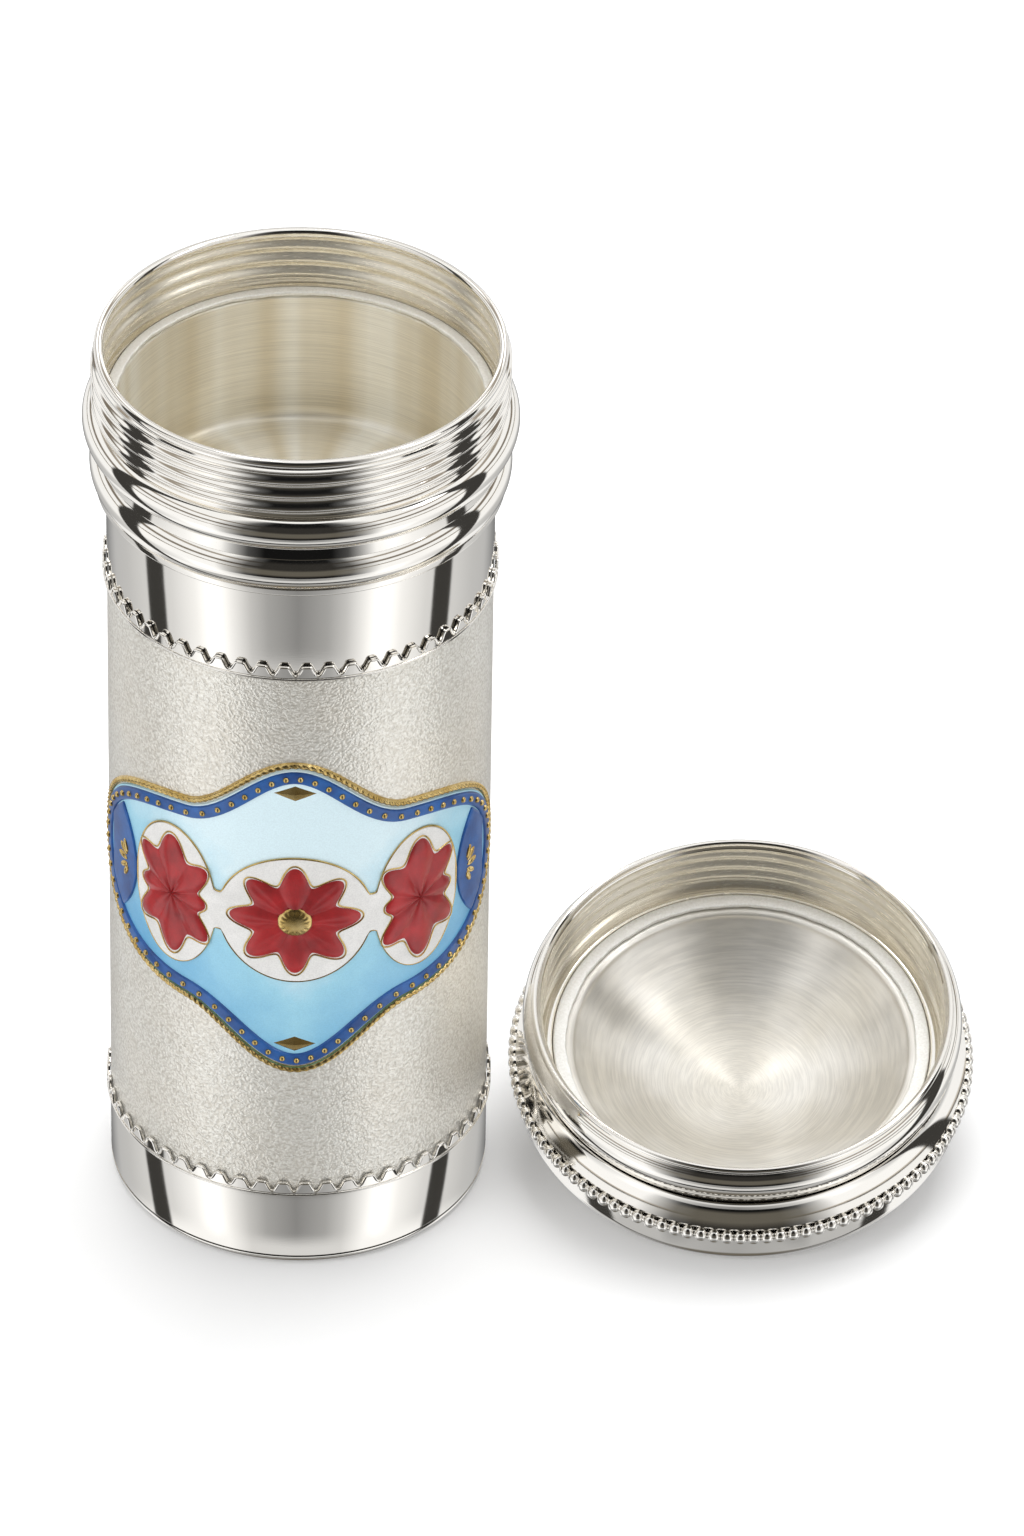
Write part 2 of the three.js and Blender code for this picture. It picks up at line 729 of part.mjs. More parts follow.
// The lid is modelled the way up it closes, then turned over onto the straight side of its cone
const lid = new THREE.Group();
lid.add(
  piece('lid_collar', lidCollar(), silver),
  piece('lid_seat_ring', lidSeatRing(), solder),
  piece('lid_liner', lidLiner(), satin),
  piece('lid_skirt', lidSkirt(), silver),
  piece('lid_bead_ring', lidBeadRing(), silver),
  piece('lid_dome', lidDome(), silver),
);
lid.rotation.x = Math.PI + domeSlope;
lid.position.set(lidAside, lidBack, coneApex * Math.cos(domeSlope));

const box = new THREE.Group();
box.add(canister, plaque, lid);
export default box;
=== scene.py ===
# Looks of the lidded silver canister: fine turned and pressed surfaces, their finishes, studio and camera.
# Shapes are worked out in millimetres, heights from the canister's underside or depths from the lid's rim.
from collections import namedtuple
from math import acos, asin, copysign, cos, degrees, exp, hypot, pi, radians, sin, sqrt, tan

import bmesh
import bpy
from mathutils import Matrix, Vector


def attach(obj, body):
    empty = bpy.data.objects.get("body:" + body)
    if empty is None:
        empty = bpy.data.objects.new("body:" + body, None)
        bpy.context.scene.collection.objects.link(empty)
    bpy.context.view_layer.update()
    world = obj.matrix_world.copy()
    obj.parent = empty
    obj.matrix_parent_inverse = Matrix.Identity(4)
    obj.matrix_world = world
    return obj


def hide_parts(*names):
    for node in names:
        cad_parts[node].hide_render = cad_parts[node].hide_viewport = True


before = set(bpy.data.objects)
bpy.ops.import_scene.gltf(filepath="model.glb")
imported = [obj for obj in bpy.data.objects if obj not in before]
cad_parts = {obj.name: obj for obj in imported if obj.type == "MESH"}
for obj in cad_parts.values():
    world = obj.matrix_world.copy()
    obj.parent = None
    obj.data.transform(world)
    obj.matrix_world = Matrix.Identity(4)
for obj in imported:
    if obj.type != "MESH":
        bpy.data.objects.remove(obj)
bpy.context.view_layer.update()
scene = bpy.context.scene
MM = 0.001
UP = Vector((0.0, 0.0, 1.0))
SIDES = ((-1, "left"), (1, "right"))

# Fineness of the surfaces
TURN_STEPS = 288
LEDGE_STEPS = 480
THREAD_ROWS_PER_PITCH = 14
PLAQUE_COLUMNS = 140
PLAQUE_ROWS = 20
OUTLINE_COLUMNS = 400
GROUND_COLUMNS = 300
MOTIF_STEPS = 240
WIRE_SIDES = 8

# Corners that get rounded, edges that stay sharp, and how far a face leans to count as an inside one
ROUNDED_FROM_DEG = 12
ROUNDED_SHARE = 0.45
SHARP_DEG = 38
INSIDE_LEAN = -0.2
WELD_DISTANCE = 1e-7

# Rolled screw thread, right handed with one start
THREAD_PITCH = 2.1
THREAD_DEPTH = 0.7
THREAD_FADE = 0.9
THREAD_RUNOUT = 0.3

# Pressed gallery strips
TOOTH_PITCH = 2.87
TOOTH_TOP_SHARE = 0.42
STRIP_RIDGE = 0.55
ARCH_EASE = 0.55
ARCH_WIRE = 0.17
RIDGE_WIRE = 0.2
ARCH_RECESS = 0.24

# Sheet work and its clearances
SHEET = 0.7
LINER_SHEET = 0.6
NECK_SHEET = 0.65
SLIP = 0.1
SEAT_GAP = 0.15
CLOSED_RIM_GAP = 0.4
LIP_RADIUS = 0.65
LIP_PROUD = 1.45
THREAD_CREST_PROUD = 1.9
FLANGE_HEIGHT = 1.0
FLANGE_STEP = 0.7
LOWER_RING_ROUND = 3.1
COVE_START_DEG = 5.0
COVE_GAP = 0.05

# Edge of the solder ledges: how far it wanders, how many times round, and where that starts
LEDGE_WANDER = ((0.056, 11, 0.0), (0.04, 23, 1.3), (0.032, 57, 0.0))

# Base and cup
BASE_EDGE = 1.2
UPSTAND_RADIUS = 24.2
UPSTAND_CORNER = 0.5
CUP_RADIUS = 23.6
CUP_CORNER = 1.8
CUP_RIM_ROUND = 0.3
CUP_STEP_RADIUS = 19.6
CUP_STEP_HEIGHT = 0.8
CUP_STEP_RUN = 0.5

# Lid, depths from its rim
COLLAR_SHEET = 0.85
COLLAR_BULGE = 1.1
BULGE_SKEW = 0.7
CREASE_DEPTH = 6.8
LID_SEAT_DEPTH = 8.35
SHELF_REACH = 1.8
SHELF_ROUND = 0.6
SHELF_DROP = 0.2
SHELF_EDGE = 0.05
BOWL_SHOULDER = 1.0
LID_LEDGE_INNER = 23.3
FLARE_CURVE = 1.7
BEAD_RADIUS = 0.95
BEAD_PITCH = 1.76
BEAD_LENGTH_SHARE = 0.97
BEAD_SQUARENESS = 0.78
BEAD_CORE_SHARE = 0.5
SHOULDER_ROUND = 2.8
DOME_SLOPE_DEG = 13.8
DOME_TIP_RADIUS = 1.6
DOME_BEVEL = 0.1

# Plaque wrapped round the sleeve, sizes along the arc and upwards
PLAQUE_ARC_RADIUS = 25.0
PLAQUE_MIDDLE = 57.7
PLAQUE_HALF_WIDTH = 34.0
PLAQUE_SIDE_HEIGHT = 16.0
PLAQUE_SQUARENESS = 3.2
LOBE_HEIGHT = 8.2
LOBE_HALF_WIDTH = 15.0
FRAME_WIDTH = 0.9
BORDER_INSET = 0.3
BORDER_WIDTH = 1.9
PANEL_REACH = 10.0
PANEL_RADIUS = 12.0
ROSETTE_RADIUS = 8.6
ROSETTE_PETALS = 8
BOSS_RADIUS = 2.2
BOSS_BEADS = 16
GROUND_MARGIN = 1.4
GROUND_NECK = 3.0
PALMETTE_OFFSET = 17.0
PALMETTE_HEIGHT = 9.5
PALMETTE_WIDTH = 5.2
PALMETTE_LOBES = 8
GROUND_REACH = PALMETTE_OFFSET + PALMETTE_WIDTH + GROUND_MARGIN
LOZENGE_HEIGHT = 2.6
LOZENGE_WIDTH = 6.0
PEARL_PITCH = 2.3
PEARL_RADIUS = 0.42
ROPE_PITCH = 0.95
ROPE_STEPS = 6
CELL_WIRE = 0.13
CELL_REACH = 1.03
SPRIG_ROOT = 1.9
SPRIG_LEANS_DEG = (-64, -32, 0, 32, 64)
LEAF_LENGTH = 2.3
LEAF_SHORTENING = 0.18
LEAF_HALF_WIDTH = 0.42
LEAF_RISE = 0.3

# Plaque's layers: radii of the sleeve's face and of each top, and how far a piece sinks into the one below
SLEEVE_FACE = 24.95
FIELD_TOP = 25.25
PLATE_TOP = 25.55
PLATE_EDGE = 0.3
SINK = 0.05
RELIEF_RISE = 0.43
BOSS_RISE = 0.5
LOZENGE_RISE = 0.35

# Levels of the room: for mirrors, for soft light, and what lifts the floor to white
MIRROR_LEVEL = 1.0
MIRRORED_AGAIN = 0.7
ROOM_LEVEL = 0.8
FLOOR_LIFT = 0.1
FLOOR_REACH = 3.0
FLOOR_DROP = 0.00003

# Camera: a long lens looking down at the photograph's angle
LENS = 280.0
PITCH_DOWN_DEG = 37.0
ROLL_DEG = 0.97
CAMERA_DISTANCE = 1.5595
AIM = Vector((0.0277, 0.0, 0.0638))

Extent = namedtuple("Extent", "inner outer low high")


# Places read from the frame

def points_of(node):
    return [v.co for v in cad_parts[node].data.vertices]


def centre_of(node):
    points = points_of(node)
    return sum(points, Vector()) / len(points)


def lid_matrix():
    """The lid's own axes: its rim at height 0 and its crown at the greatest height"""
    seat = centre_of("lid_seat_ring")
    axis = (centre_of("lid_bead_ring") - seat).normalized()
    side = Vector((1.0, 0.0, 0.0))
    across = axis.cross(side)
    rim = min((point - seat).dot(axis) for point in points_of("lid_collar"))
    turn = Matrix((side, across, axis)).transposed().to_4x4()
    return Matrix.Translation(seat + axis * rim) @ turn


CANISTER = Matrix.Identity(4)
LID = lid_matrix()


def extent(node, place=CANISTER):
    """Least and greatest radius and height of a CAD node about its own axis"""
    to_own = place.inverted()
    points = [to_own @ point for point in points_of(node)]
    radii = [hypot(p.x, p.y) / MM for p in points]
    heights = [p.z / MM for p in points]
    return Extent(min(radii), max(radii), min(heights), max(heights))


# Outlines

def arc(r, z, radius, from_deg, to_deg, steps, radius_z=None):
    """Points on an arc, or on an ellipse's with its second radius, angles from the outward direction"""
    angles = [radians(from_deg + (to_deg - from_deg) * i / steps) for i in range(steps + 1)]
    return [(r + radius * cos(a), z + (radius_z or radius) * sin(a)) for a in angles]


def rectangle(inner, outer, low, high):
    return [(inner, low), (outer, low), (outer, high), (inner, high)]


def between(start, end, steps):
    return [start + (end - start) * i / steps for i in range(steps + 1)]


def eased(points, radius, closed=True, steps=4):
    """The outline with its corners rounded"""
    rounded = []
    count = len(points)
    for i, corner in enumerate(points):
        here = Vector(corner)
        back = Vector(points[i - 1]) - here
        ahead = Vector(points[(i + 1) % count]) - here
        turn = pi - back.angle(ahead)
        if turn < radians(ROUNDED_FROM_DEG) or not closed and i in (0, count - 1):
            rounded.append(corner)
            continue
        reach = min(radius * tan(turn / 2), ROUNDED_SHARE * back.length, ROUNDED_SHARE * ahead.length)
        start, end = here + back.normalized() * reach, here + ahead.normalized() * reach
        for t in between(0.0, 1.0, steps):
            rounded.append(tuple(start * (1 - t) ** 2 + here * 2 * t * (1 - t) + end * t ** 2))
    return rounded


def moved_outline(outline, distance):
    """The closed outline moved to its right by a distance, which is outwards where it runs anticlockwise"""
    moved = []
    for i, (x, y) in enumerate(outline):
        before, after = outline[i - 1], outline[(i + 1) % len(outline)]
        step = Vector((after[0] - before[0], after[1] - before[1])).normalized()
        moved.append((x + step.y * distance, y - step.x * distance))
    return moved


# Meshes

def round_point(radius, angle, height):
    """Point at an angle round the axis from the side that faces the viewer"""
    return (radius * sin(angle), -radius * cos(angle), height)


def directions_at(angle):
    """Directions along the arc, outwards and up at an angle round the axis"""
    out = Vector(round_point(1.0, angle, 0.0))
    return UP.cross(out), out, UP


def grid_faces(rows, columns, wrap_rows, wrap_columns):
    """Quads between the points of a grid that is stored row by row"""
    faces = []
    for i in range(rows if wrap_rows else rows - 1):
        here, below = i * columns, (i + 1) % rows * columns
        for j in range(columns if wrap_columns else columns - 1):
            beside = (j + 1) % columns
            faces.append((here + j, here + beside, below + beside, below + j))
    return faces


def turn_angles(steps=TURN_STEPS):
    return [2 * pi * i / steps for i in range(steps)]


def swept(section_at, angles):
    """Ring whose closed section of radius and height changes with the angle round the axis"""
    sections = [section_at(angle) for angle in angles]
    points = [round_point(r, angle, z) for angle, section in zip(angles, sections) for r, z in section]
    return points, grid_faces(len(angles), len(sections[0]), True, True)


def turned(profile):
    """Ring from a closed profile, or a body from one that starts and ends on the axis"""
    on_axis = profile[0][0] == 0
    points = [round_point(r, angle, z) for angle in turn_angles() for r, z in profile]
    return points, grid_faces(TURN_STEPS, len(profile), True, not on_axis)


def joined(*parts):
    """Several sets of points and faces as one"""
    points, faces = [], []
    for more_points, more_faces in parts:
        faces += [tuple(index + len(points) for index in face) for face in more_faces]
        points += more_points
    return points, faces


def wire(path, radius, surface_radius):
    """Round wire along a closed path of distances along the arc and heights, at a radius from the axis"""
    points = []
    for i, (along, height) in enumerate(path):
        before, after = path[i - 1], path[(i + 1) % len(path)]
        step = [after[0] - before[0], after[1] - before[1]]
        if abs(step[0]) > pi * surface_radius:
            step[0] -= copysign(2 * pi * surface_radius, step[0])
        length = hypot(*step)
        for side in range(WIRE_SIDES):
            turn = 2 * pi * side / WIRE_SIDES
            aside = radius * sin(turn) / length
            angle = (along - step[1] * aside) / surface_radius
            points.append(round_point(surface_radius + radius * cos(turn), angle, height + step[0] * aside))
    return points, grid_faces(len(path), WIRE_SIDES, True, True)


def squared(value, power):
    return copysign(abs(value) ** power, value)


def ball(centre, directions, half_sizes, rings, sides, power=1.0):
    """Closed rounded body with a half size along each of three directions; a power below 1 squares it"""
    across, out, up = directions
    points = [tuple(centre + up * half_sizes[2]), tuple(centre - up * half_sizes[2])]
    for ring in range(1, rings):
        latitude = pi * ring / rings
        for side in range(sides):
            turn = 2 * pi * side / sides
            flat = across * (half_sizes[0] * squared(cos(turn), power))
            flat += out * (half_sizes[1] * squared(sin(turn), power))
            rise = up * (half_sizes[2] * squared(cos(latitude), power))
            points.append(tuple(centre + flat * sin(latitude) ** power + rise))
    faces = []
    for side in range(sides):
        beside = (side + 1) % sides
        faces.append((0, 2 + side, 2 + beside))
        last = 2 + (rings - 2) * sides
        faces.append((1, last + beside, last + side))
        for ring in range(rings - 2):
            a, b = 2 + ring * sides, 2 + (ring + 1) * sides
            faces.append((a + side, b + side, b + beside, a + beside))
    return points, faces


def placed(name, data):
    """A new object in the scene"""
    made = bpy.data.objects.new(name, data)
    scene.collection.objects.link(made)
    return made


def make(name, shape, finish, replaced=(), body="canister", place=CANISTER, inside=None, sharp_deg=SHARP_DEG):
    """A piece of the object. Its finish is a material and a slot, and the slot is not used. Its inside is a
    second material for the faces that look towards the axis, with the least and greatest height that it
    covers"""
    points, faces = shape
    outside, slot = finish
    mesh = bpy.data.meshes.new(name)
    mesh.from_pydata([[c * MM for c in point] for point in points], [], faces)
    work = bmesh.new()
    work.from_mesh(mesh)
    bmesh.ops.remove_doubles(work, verts=work.verts, dist=WELD_DISTANCE)
    bmesh.ops.recalc_face_normals(work, faces=work.faces)
    for face in work.faces:
        face.smooth = True
        middle = face.calc_center_median()
        outward = Vector((middle.x, middle.y, 0)).normalized()
        if inside and face.normal.dot(outward) < INSIDE_LEAN and inside[1] < middle.z / MM < inside[2]:
            face.material_index = 1
    work.to_mesh(mesh)
    work.free()
    turn = place.to_3x3()
    places = [vertex.co.copy() for vertex in mesh.vertices]
    around = [turn @ Vector((-point.y, point.x, 0)).normalized() for point in places]
    for field, values in (("own_place", places), ("around", around)):
        data = mesh.attributes.new(field, "FLOAT_VECTOR", "POINT").data
        data.foreach_set("vector", [c for value in values for c in value])
    mesh.transform(place)
    mesh.materials.append(outside)
    if inside:
        mesh.materials.append(inside[0])
    mesh.set_sharp_from_angle(angle=radians(sharp_deg))
    piece = placed(name, mesh)
    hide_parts(*replaced)
    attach(piece, body)


# Material nodes: scales of noise are per metre, and distances of bumps are metres

def rgba(colour):
    """Four numbers from a colour of three or from one level of grey"""
    return (*colour, 1.0) if isinstance(colour, tuple) else (colour, colour, colour, 1.0)


class Nodes:
    """Short calls that add linked nodes to a material or a world"""

    def __init__(self, owner):
        owner.use_nodes = True
        self.owner, self.tree = owner, owner.node_tree
        self.tree.nodes.clear()

    def node(self, kind, inputs=None, **settings):
        node = self.tree.nodes.new("ShaderNode" + kind)
        for key, value in settings.items():
            setattr(node, key, value)
        for key, value in (inputs or {}).items():
            socket = node.inputs[key]
            if isinstance(value, bpy.types.NodeSocket):
                self.tree.links.new(value, socket)
            else:
                socket.default_value = rgba(value) if socket.type == "RGBA" else value
        return node

    def add(self, kind, inputs=None, output=0, **settings):
        """One output of a new node"""
        return self.node(kind, inputs, **settings).outputs[output]

    def math(self, operation, a, b=0.0):
        return self.add("Math", {0: a, 1: b}, operation=operation)

    def scaled(self, value, factor, offset):
        """The value times a factor, and an offset added"""
        return self.add("Math", {0: value, 1: factor, 2: offset}, operation="MULTIPLY_ADD")

    def vector(self, operation, a, b=(0, 0, 0)):
        return self.add("VectorMath", {0: a, 1: b}, operation=operation)

    def ramp(self, value, stops):
        node = self.node("ValToRGB", {"Fac": value})
        elements = node.color_ramp.elements
        while len(elements) < len(stops):
            elements.new(0.5)
        for element, (position, colour) in zip(elements, stops):
            element.position = position
            element.color = rgba(colour)
        return node.outputs["Color"]

    def blend(self, factor, a, b, mode="MIX"):
        return self.add("Mix", {0: factor, 6: a, 7: b}, 2, data_type="RGBA", blend_type=mode)

    def noise(self, scale, detail=2.0, roughness=0.5, vector=None, output="Fac"):
        """Noise by the place on the piece, or by another vector"""
        inputs = {"Vector": vector or self.place(), "Scale": scale, "Detail": detail, "Roughness": roughness}
        return self.add("TexNoise", inputs, output)

    def place(self):
        """Place on the piece in its own axes, which are the lid's on the lid"""
        return self.add("Attribute", output="Vector", attribute_name="own_place")

    def around(self):
        """Direction round the piece's axis"""
        own = self.add("Attribute", output="Vector", attribute_name="around")
        return self.add("VectorTransform", {0: own}, convert_from="OBJECT", convert_to="WORLD")

    def split(self, vector):
        return self.node("SeparateXYZ", {0: vector}).outputs

    def round_axis(self):
        """Direction from the piece's axis, distance from it and height"""
        x, y, height = self.split(self.place())
        flat = self.add("CombineXYZ", {0: x, 1: y})
        distance = self.add("VectorMath", {0: flat}, "Value", operation="LENGTH")
        return self.vector("NORMALIZE", flat), distance, height

    def brush(self, direction, across, turns, pitch, detail=3.0):
        """Fine lines that run round the axis and change across it"""
        round_part = self.vector("MULTIPLY", direction, (turns, turns, 0.0))
        across_part = self.add("CombineXYZ", {2: self.math("DIVIDE", across, pitch)})
        return self.noise(1.0, detail, 0.6, self.vector("ADD", round_part, across_part))

    def bump(self, height, distance, strength, normal=None, invert=False):
        inputs = {"Height": height, "Distance": distance, "Strength": strength}
        if normal:
            inputs["Normal"] = normal
        return self.add("Bump", inputs, invert=invert)

    def surface(self, **inputs):
        """The finished material"""
        named = {key.replace("_", " ").title(): value for key, value in inputs.items()}
        shader = self.add("BsdfPrincipled", named)
        self.node("OutputMaterial", {"Surface": shader})
        return self.owner


def new_material(name):
    return Nodes(bpy.data.materials.new(name))


# Finishes, each a material, most with the name of a slot

def polished_silver():
    """Mirror finish with the slight waves and hairlines of hand polishing"""
    nodes = new_material("polished_silver")
    direction, _, height = nodes.round_axis()
    smudge = nodes.noise(90.0, 3.0)
    colour = nodes.blend(smudge, (0.955, 0.925, 0.87), (0.975, 0.955, 0.915))
    waves = nodes.bump(nodes.noise(160.0, 1.0), 0.00003, 0.35)
    hairlines = nodes.bump(nodes.brush(direction, height, 9.0, 0.00012), 0.000002, 0.5, waves)
    rough = nodes.scaled(smudge, 0.05, 0.035)
    return nodes.surface(base_color=colour, metallic=1.0, roughness=rough, normal=hairlines), "silver"


def satin_silver(name, dark, light, painted_band_scale, metallic):
    """Warm brushed silver with lines that run round the axis, and a cloudy tone, or, with a band scale,
    painted reflection: lighter and darker upright bands round the axis
    """
    nodes = new_material(name)
    direction, distance, height = nodes.round_axis()
    across = nodes.math("ADD", height, distance)
    lines = nodes.brush(direction, across, 2.6, 0.00012)
    streaks = nodes.brush(direction, across, 1.2, 0.0006, 2.0)
    # With a band scale the colour changes only round the axis: upright bands of painted reflection, lighter
    # and darker; without one it is a cloudy tone
    cloud = nodes.noise(painted_band_scale, 1.5, vector=direction) if painted_band_scale else nodes.noise(70.0, 3.0)
    tone_and_painted_bands = nodes.ramp(cloud, [(0.38, dark), (0.62, light)])
    colour = nodes.blend(0.4, tone_and_painted_bands, nodes.ramp(lines, [(0.36, 0.6), (0.64, 1.0)]), "MULTIPLY")
    return nodes.surface(
        base_color=colour, metallic=metallic, roughness=nodes.scaled(streaks, 0.08, 0.27), anisotropic=0.75,
        anisotropic_rotation=0.25, normal=nodes.bump(lines, 0.00001, 0.25), tangent=nodes.around(),
    ), "satin_silver"


def gilt_silver():
    """Warm polished inside of the rolled neck and collar"""
    nodes = new_material("gilt_silver")
    direction, _, height = nodes.round_axis()
    lines = nodes.brush(direction, height, 8.0, 0.0001)
    smudge = nodes.noise(140.0, 3.0)
    colour = nodes.blend(smudge, (0.83, 0.76, 0.61), (0.94, 0.90, 0.80))
    rough, bumps = nodes.scaled(lines, 0.12, 0.2), nodes.bump(lines, 0.000006, 0.5)
    return nodes.surface(base_color=colour, metallic=0.65, roughness=rough, normal=bumps)


def matt_solder():
    """Pale grainy ledge of tinned solder"""
    nodes = new_material("matt_solder")
    grain = nodes.noise(3200.0, 4.0, 0.7)
    blobs = nodes.bump(nodes.noise(700.0), 0.0001, 0.5)
    colour = nodes.ramp(grain, [(0.3, (0.84, 0.83, 0.79)), (0.65, (0.97, 0.965, 0.94))])
    bumps = nodes.bump(grain, 0.00006, 0.8, blobs)
    return nodes.surface(base_color=colour, metallic=0.5, roughness=0.45, normal=bumps), "solder"


def stippled_silver():
    """Sand-textured sheet: a close net of shallow wrinkles"""
    nodes = new_material("stippled_silver")
    shift = nodes.vector("MULTIPLY", nodes.noise(900.0, 1.0, output="Color"), (0.0007, 0.0007, 0.0007))
    cells = {"Vector": nodes.vector("ADD", nodes.place(), shift), "Scale": 3000.0}
    net = nodes.add("TexVoronoi", cells, "Distance", feature="SMOOTH_F1")
    grain = nodes.noise(2600.0, 3.0, 0.6)
    mixed = nodes.math("ADD", nodes.math("MULTIPLY", net, 0.8), nodes.math("MULTIPLY", grain, 0.6))
    cloud = nodes.noise(60.0, 3.0)
    pale = nodes.ramp(cloud, [(0.3, (1.0, 0.965, 0.89)), (0.6, (1.0, 0.985, 0.93))])
    hollows = nodes.ramp(mixed, [(0.44, (1.0, 1.0, 0.99)), (0.80, (0.60, 0.57, 0.52))])
    colour = nodes.blend(0.65, pale, hollows, "MULTIPLY")
    bumps = nodes.bump(mixed, 0.00014, 0.85, invert=True)
    return nodes.surface(base_color=colour, metallic=0.6, roughness=0.28, normal=bumps), "stippled_silver"


def gold():
    nodes = new_material("gold")
    wear = nodes.noise(500.0, 3.0)
    colour = nodes.ramp(wear, [(0.3, (0.62, 0.42, 0.13)), (0.7, (0.86, 0.66, 0.30))])
    bumps = nodes.bump(nodes.noise(1500.0), 0.00004, 0.4)
    return nodes.surface(base_color=colour, metallic=1.0, roughness=0.24, normal=bumps), "gold"


def glazed(nodes, colour, speck_level):
    """Specks in an enamel's colour, and the clear glossy coat over it"""
    specks = nodes.ramp(nodes.noise(5200.0), [(0.35, speck_level), (0.65, 1.0)])
    flecked = nodes.blend(0.25, colour, specks, "MULTIPLY")
    bumps = nodes.bump(nodes.noise(900.0), 0.00005, 0.3)
    coat = {"coat_weight": 0.3, "coat_roughness": 0.06}
    return nodes.surface(base_color=flecked, roughness=0.36, normal=bumps, **coat)


def enamel(name, dark, light):
    """Fired enamel whose colour pools and thins"""
    nodes = new_material(name)
    cloud = nodes.noise(260.0, 4.0, 0.6)
    return glazed(nodes, nodes.ramp(cloud, [(0.3, dark), (0.7, light)]), 0.55), name


def sky_enamel():
    """Light blue field, paler in the middle and stronger towards the ends and the bottom"""
    nodes = new_material("sky_enamel")
    x, _, z = nodes.split(nodes.place())
    sideways = nodes.math("DIVIDE", nodes.math("ABSOLUTE", x), 0.0252)
    mixed = nodes.math("ADD", nodes.math("MULTIPLY", sideways, 0.55), nodes.scaled(z, -20.0, 1.25))
    cloud = nodes.noise(220.0, 4.0, 0.6)
    shaded = nodes.math("ADD", mixed, nodes.math("MULTIPLY", cloud, 0.28))
    stops = [(0.25, (0.70, 0.87, 0.93)), (0.55, (0.34, 0.66, 0.82)), (0.95, (0.10, 0.38, 0.66))]
    return glazed(nodes, nodes.ramp(shaded, stops), 0.7), "sky_enamel"


# Canister pieces

def smoothed(share):
    return share * share * (3 - 2 * share)


def thread(mean, angle, low, high, phase=0.0):
    """Outline of the screw's wave about a mean radius, faded at both ends"""
    points = []
    for z in between(low, high, round((high - low) / THREAD_PITCH * THREAD_ROWS_PER_PITCH)):
        fade = smoothed(max(0.0, min(1.0, (z - low) / THREAD_FADE, (high - z) / THREAD_FADE)))
        points.append((mean + THREAD_DEPTH / 2 * fade * cos(2 * pi * (z + phase) / THREAD_PITCH - angle), z))
    return points


def body_tube(size, sleeve):
    """Rolled tube with its waist under the sleeve"""
    inner, waist = size.outer - SHEET, sleeve.inner - SLIP
    low_step, high_step = sleeve.low - SLIP, sleeve.high + SLIP
    return turned(eased([
        (size.outer, size.low), (size.outer, low_step), (waist, low_step),
        (waist, high_step), (size.outer, high_step), (size.outer, size.high),
        (inner, size.high), (inner, high_step + SHEET), (waist - SHEET, high_step + SHEET),
        (waist - SHEET, low_step - SHEET), (inner, low_step - SHEET), (inner, size.low),
    ], 0.15))


def base_cap(size):
    """Pressed base: rounded edge, flat bearing face and an upstand inside the tube"""
    rounded_edge = arc(size.outer - BASE_EDGE, BASE_EDGE, BASE_EDGE, -90, 0, 14)
    inner = UPSTAND_RADIUS - SHEET
    return turned([
        (0, 0), *rounded_edge, (UPSTAND_RADIUS, BASE_EDGE), (UPSTAND_RADIUS, size.high), (inner, size.high),
        (inner, SHEET + UPSTAND_CORNER), (inner - UPSTAND_CORNER, SHEET), (0, SHEET),
    ])


def inner_cup(size):
    """Spun cup with a rounded corner and a raised round in the middle of its floor"""
    floor, flange = size.low + LINER_SHEET, size.high - LINER_SHEET
    corner = CUP_RADIUS - CUP_CORNER, floor + CUP_CORNER
    rim = CUP_RADIUS + CUP_RIM_ROUND, size.high - CUP_RIM_ROUND
    rise = []
    for t in between(0, 1, 8):
        rise.append((CUP_STEP_RADIUS + CUP_STEP_RUN * (1 - t), floor + CUP_STEP_HEIGHT * smoothed(t)))
    return turned([
        (0, size.low), *arc(*corner, CUP_CORNER + LINER_SHEET, -90, 0, 16),
        (CUP_RADIUS + LINER_SHEET, flange), (size.outer, flange), (size.outer, size.high),
        *arc(*rim, CUP_RIM_ROUND, 90, 180, 6), *arc(*corner, CUP_CORNER, 0, -90, 28),
        *rise, (0, floor + CUP_STEP_HEIGHT),
    ])


def seat_ring(size):
    """Flat ring with softened edges that wander slightly, as hand-run solder does"""
    def section(angle):
        inner = size.inner + sum(reach * sin(turns * angle + start) for reach, turns, start in LEDGE_WANDER)
        return eased(rectangle(inner, size.outer, size.low, size.high), 0.22)
    return swept(section, turn_angles(LEDGE_STEPS))


def neck_collar(size, tube, ring_top):
    """Sheet sleeve rolled into a screw thread under a rolled lip"""
    inner = tube.outer + SLIP
    outer = inner + NECK_SHEET
    mean = tube.outer + THREAD_CREST_PROUD - THREAD_DEPTH / 2
    lip_middle = tube.outer + LIP_PROUD - LIP_RADIUS
    low = ring_top + SEAT_GAP
    high = size.high - 2 * LIP_RADIUS
    lip = arc(lip_middle, size.high - LIP_RADIUS, LIP_RADIUS, -45, 225, 24)

    def section(angle):
        return [
            (outer, size.low), (outer, ring_top), *thread(mean, angle, low, high), *lip,
            *reversed(thread(mean - NECK_SHEET, angle, low, high)), (inner, ring_top), (inner, size.low),
        ]
    return swept(section, turn_angles())


def upper_ring(size):
    half = (size.high - size.low) / 2
    return turned(arc(size.inner, size.low + half, size.outer - size.inner, -90, 90, 40, half))


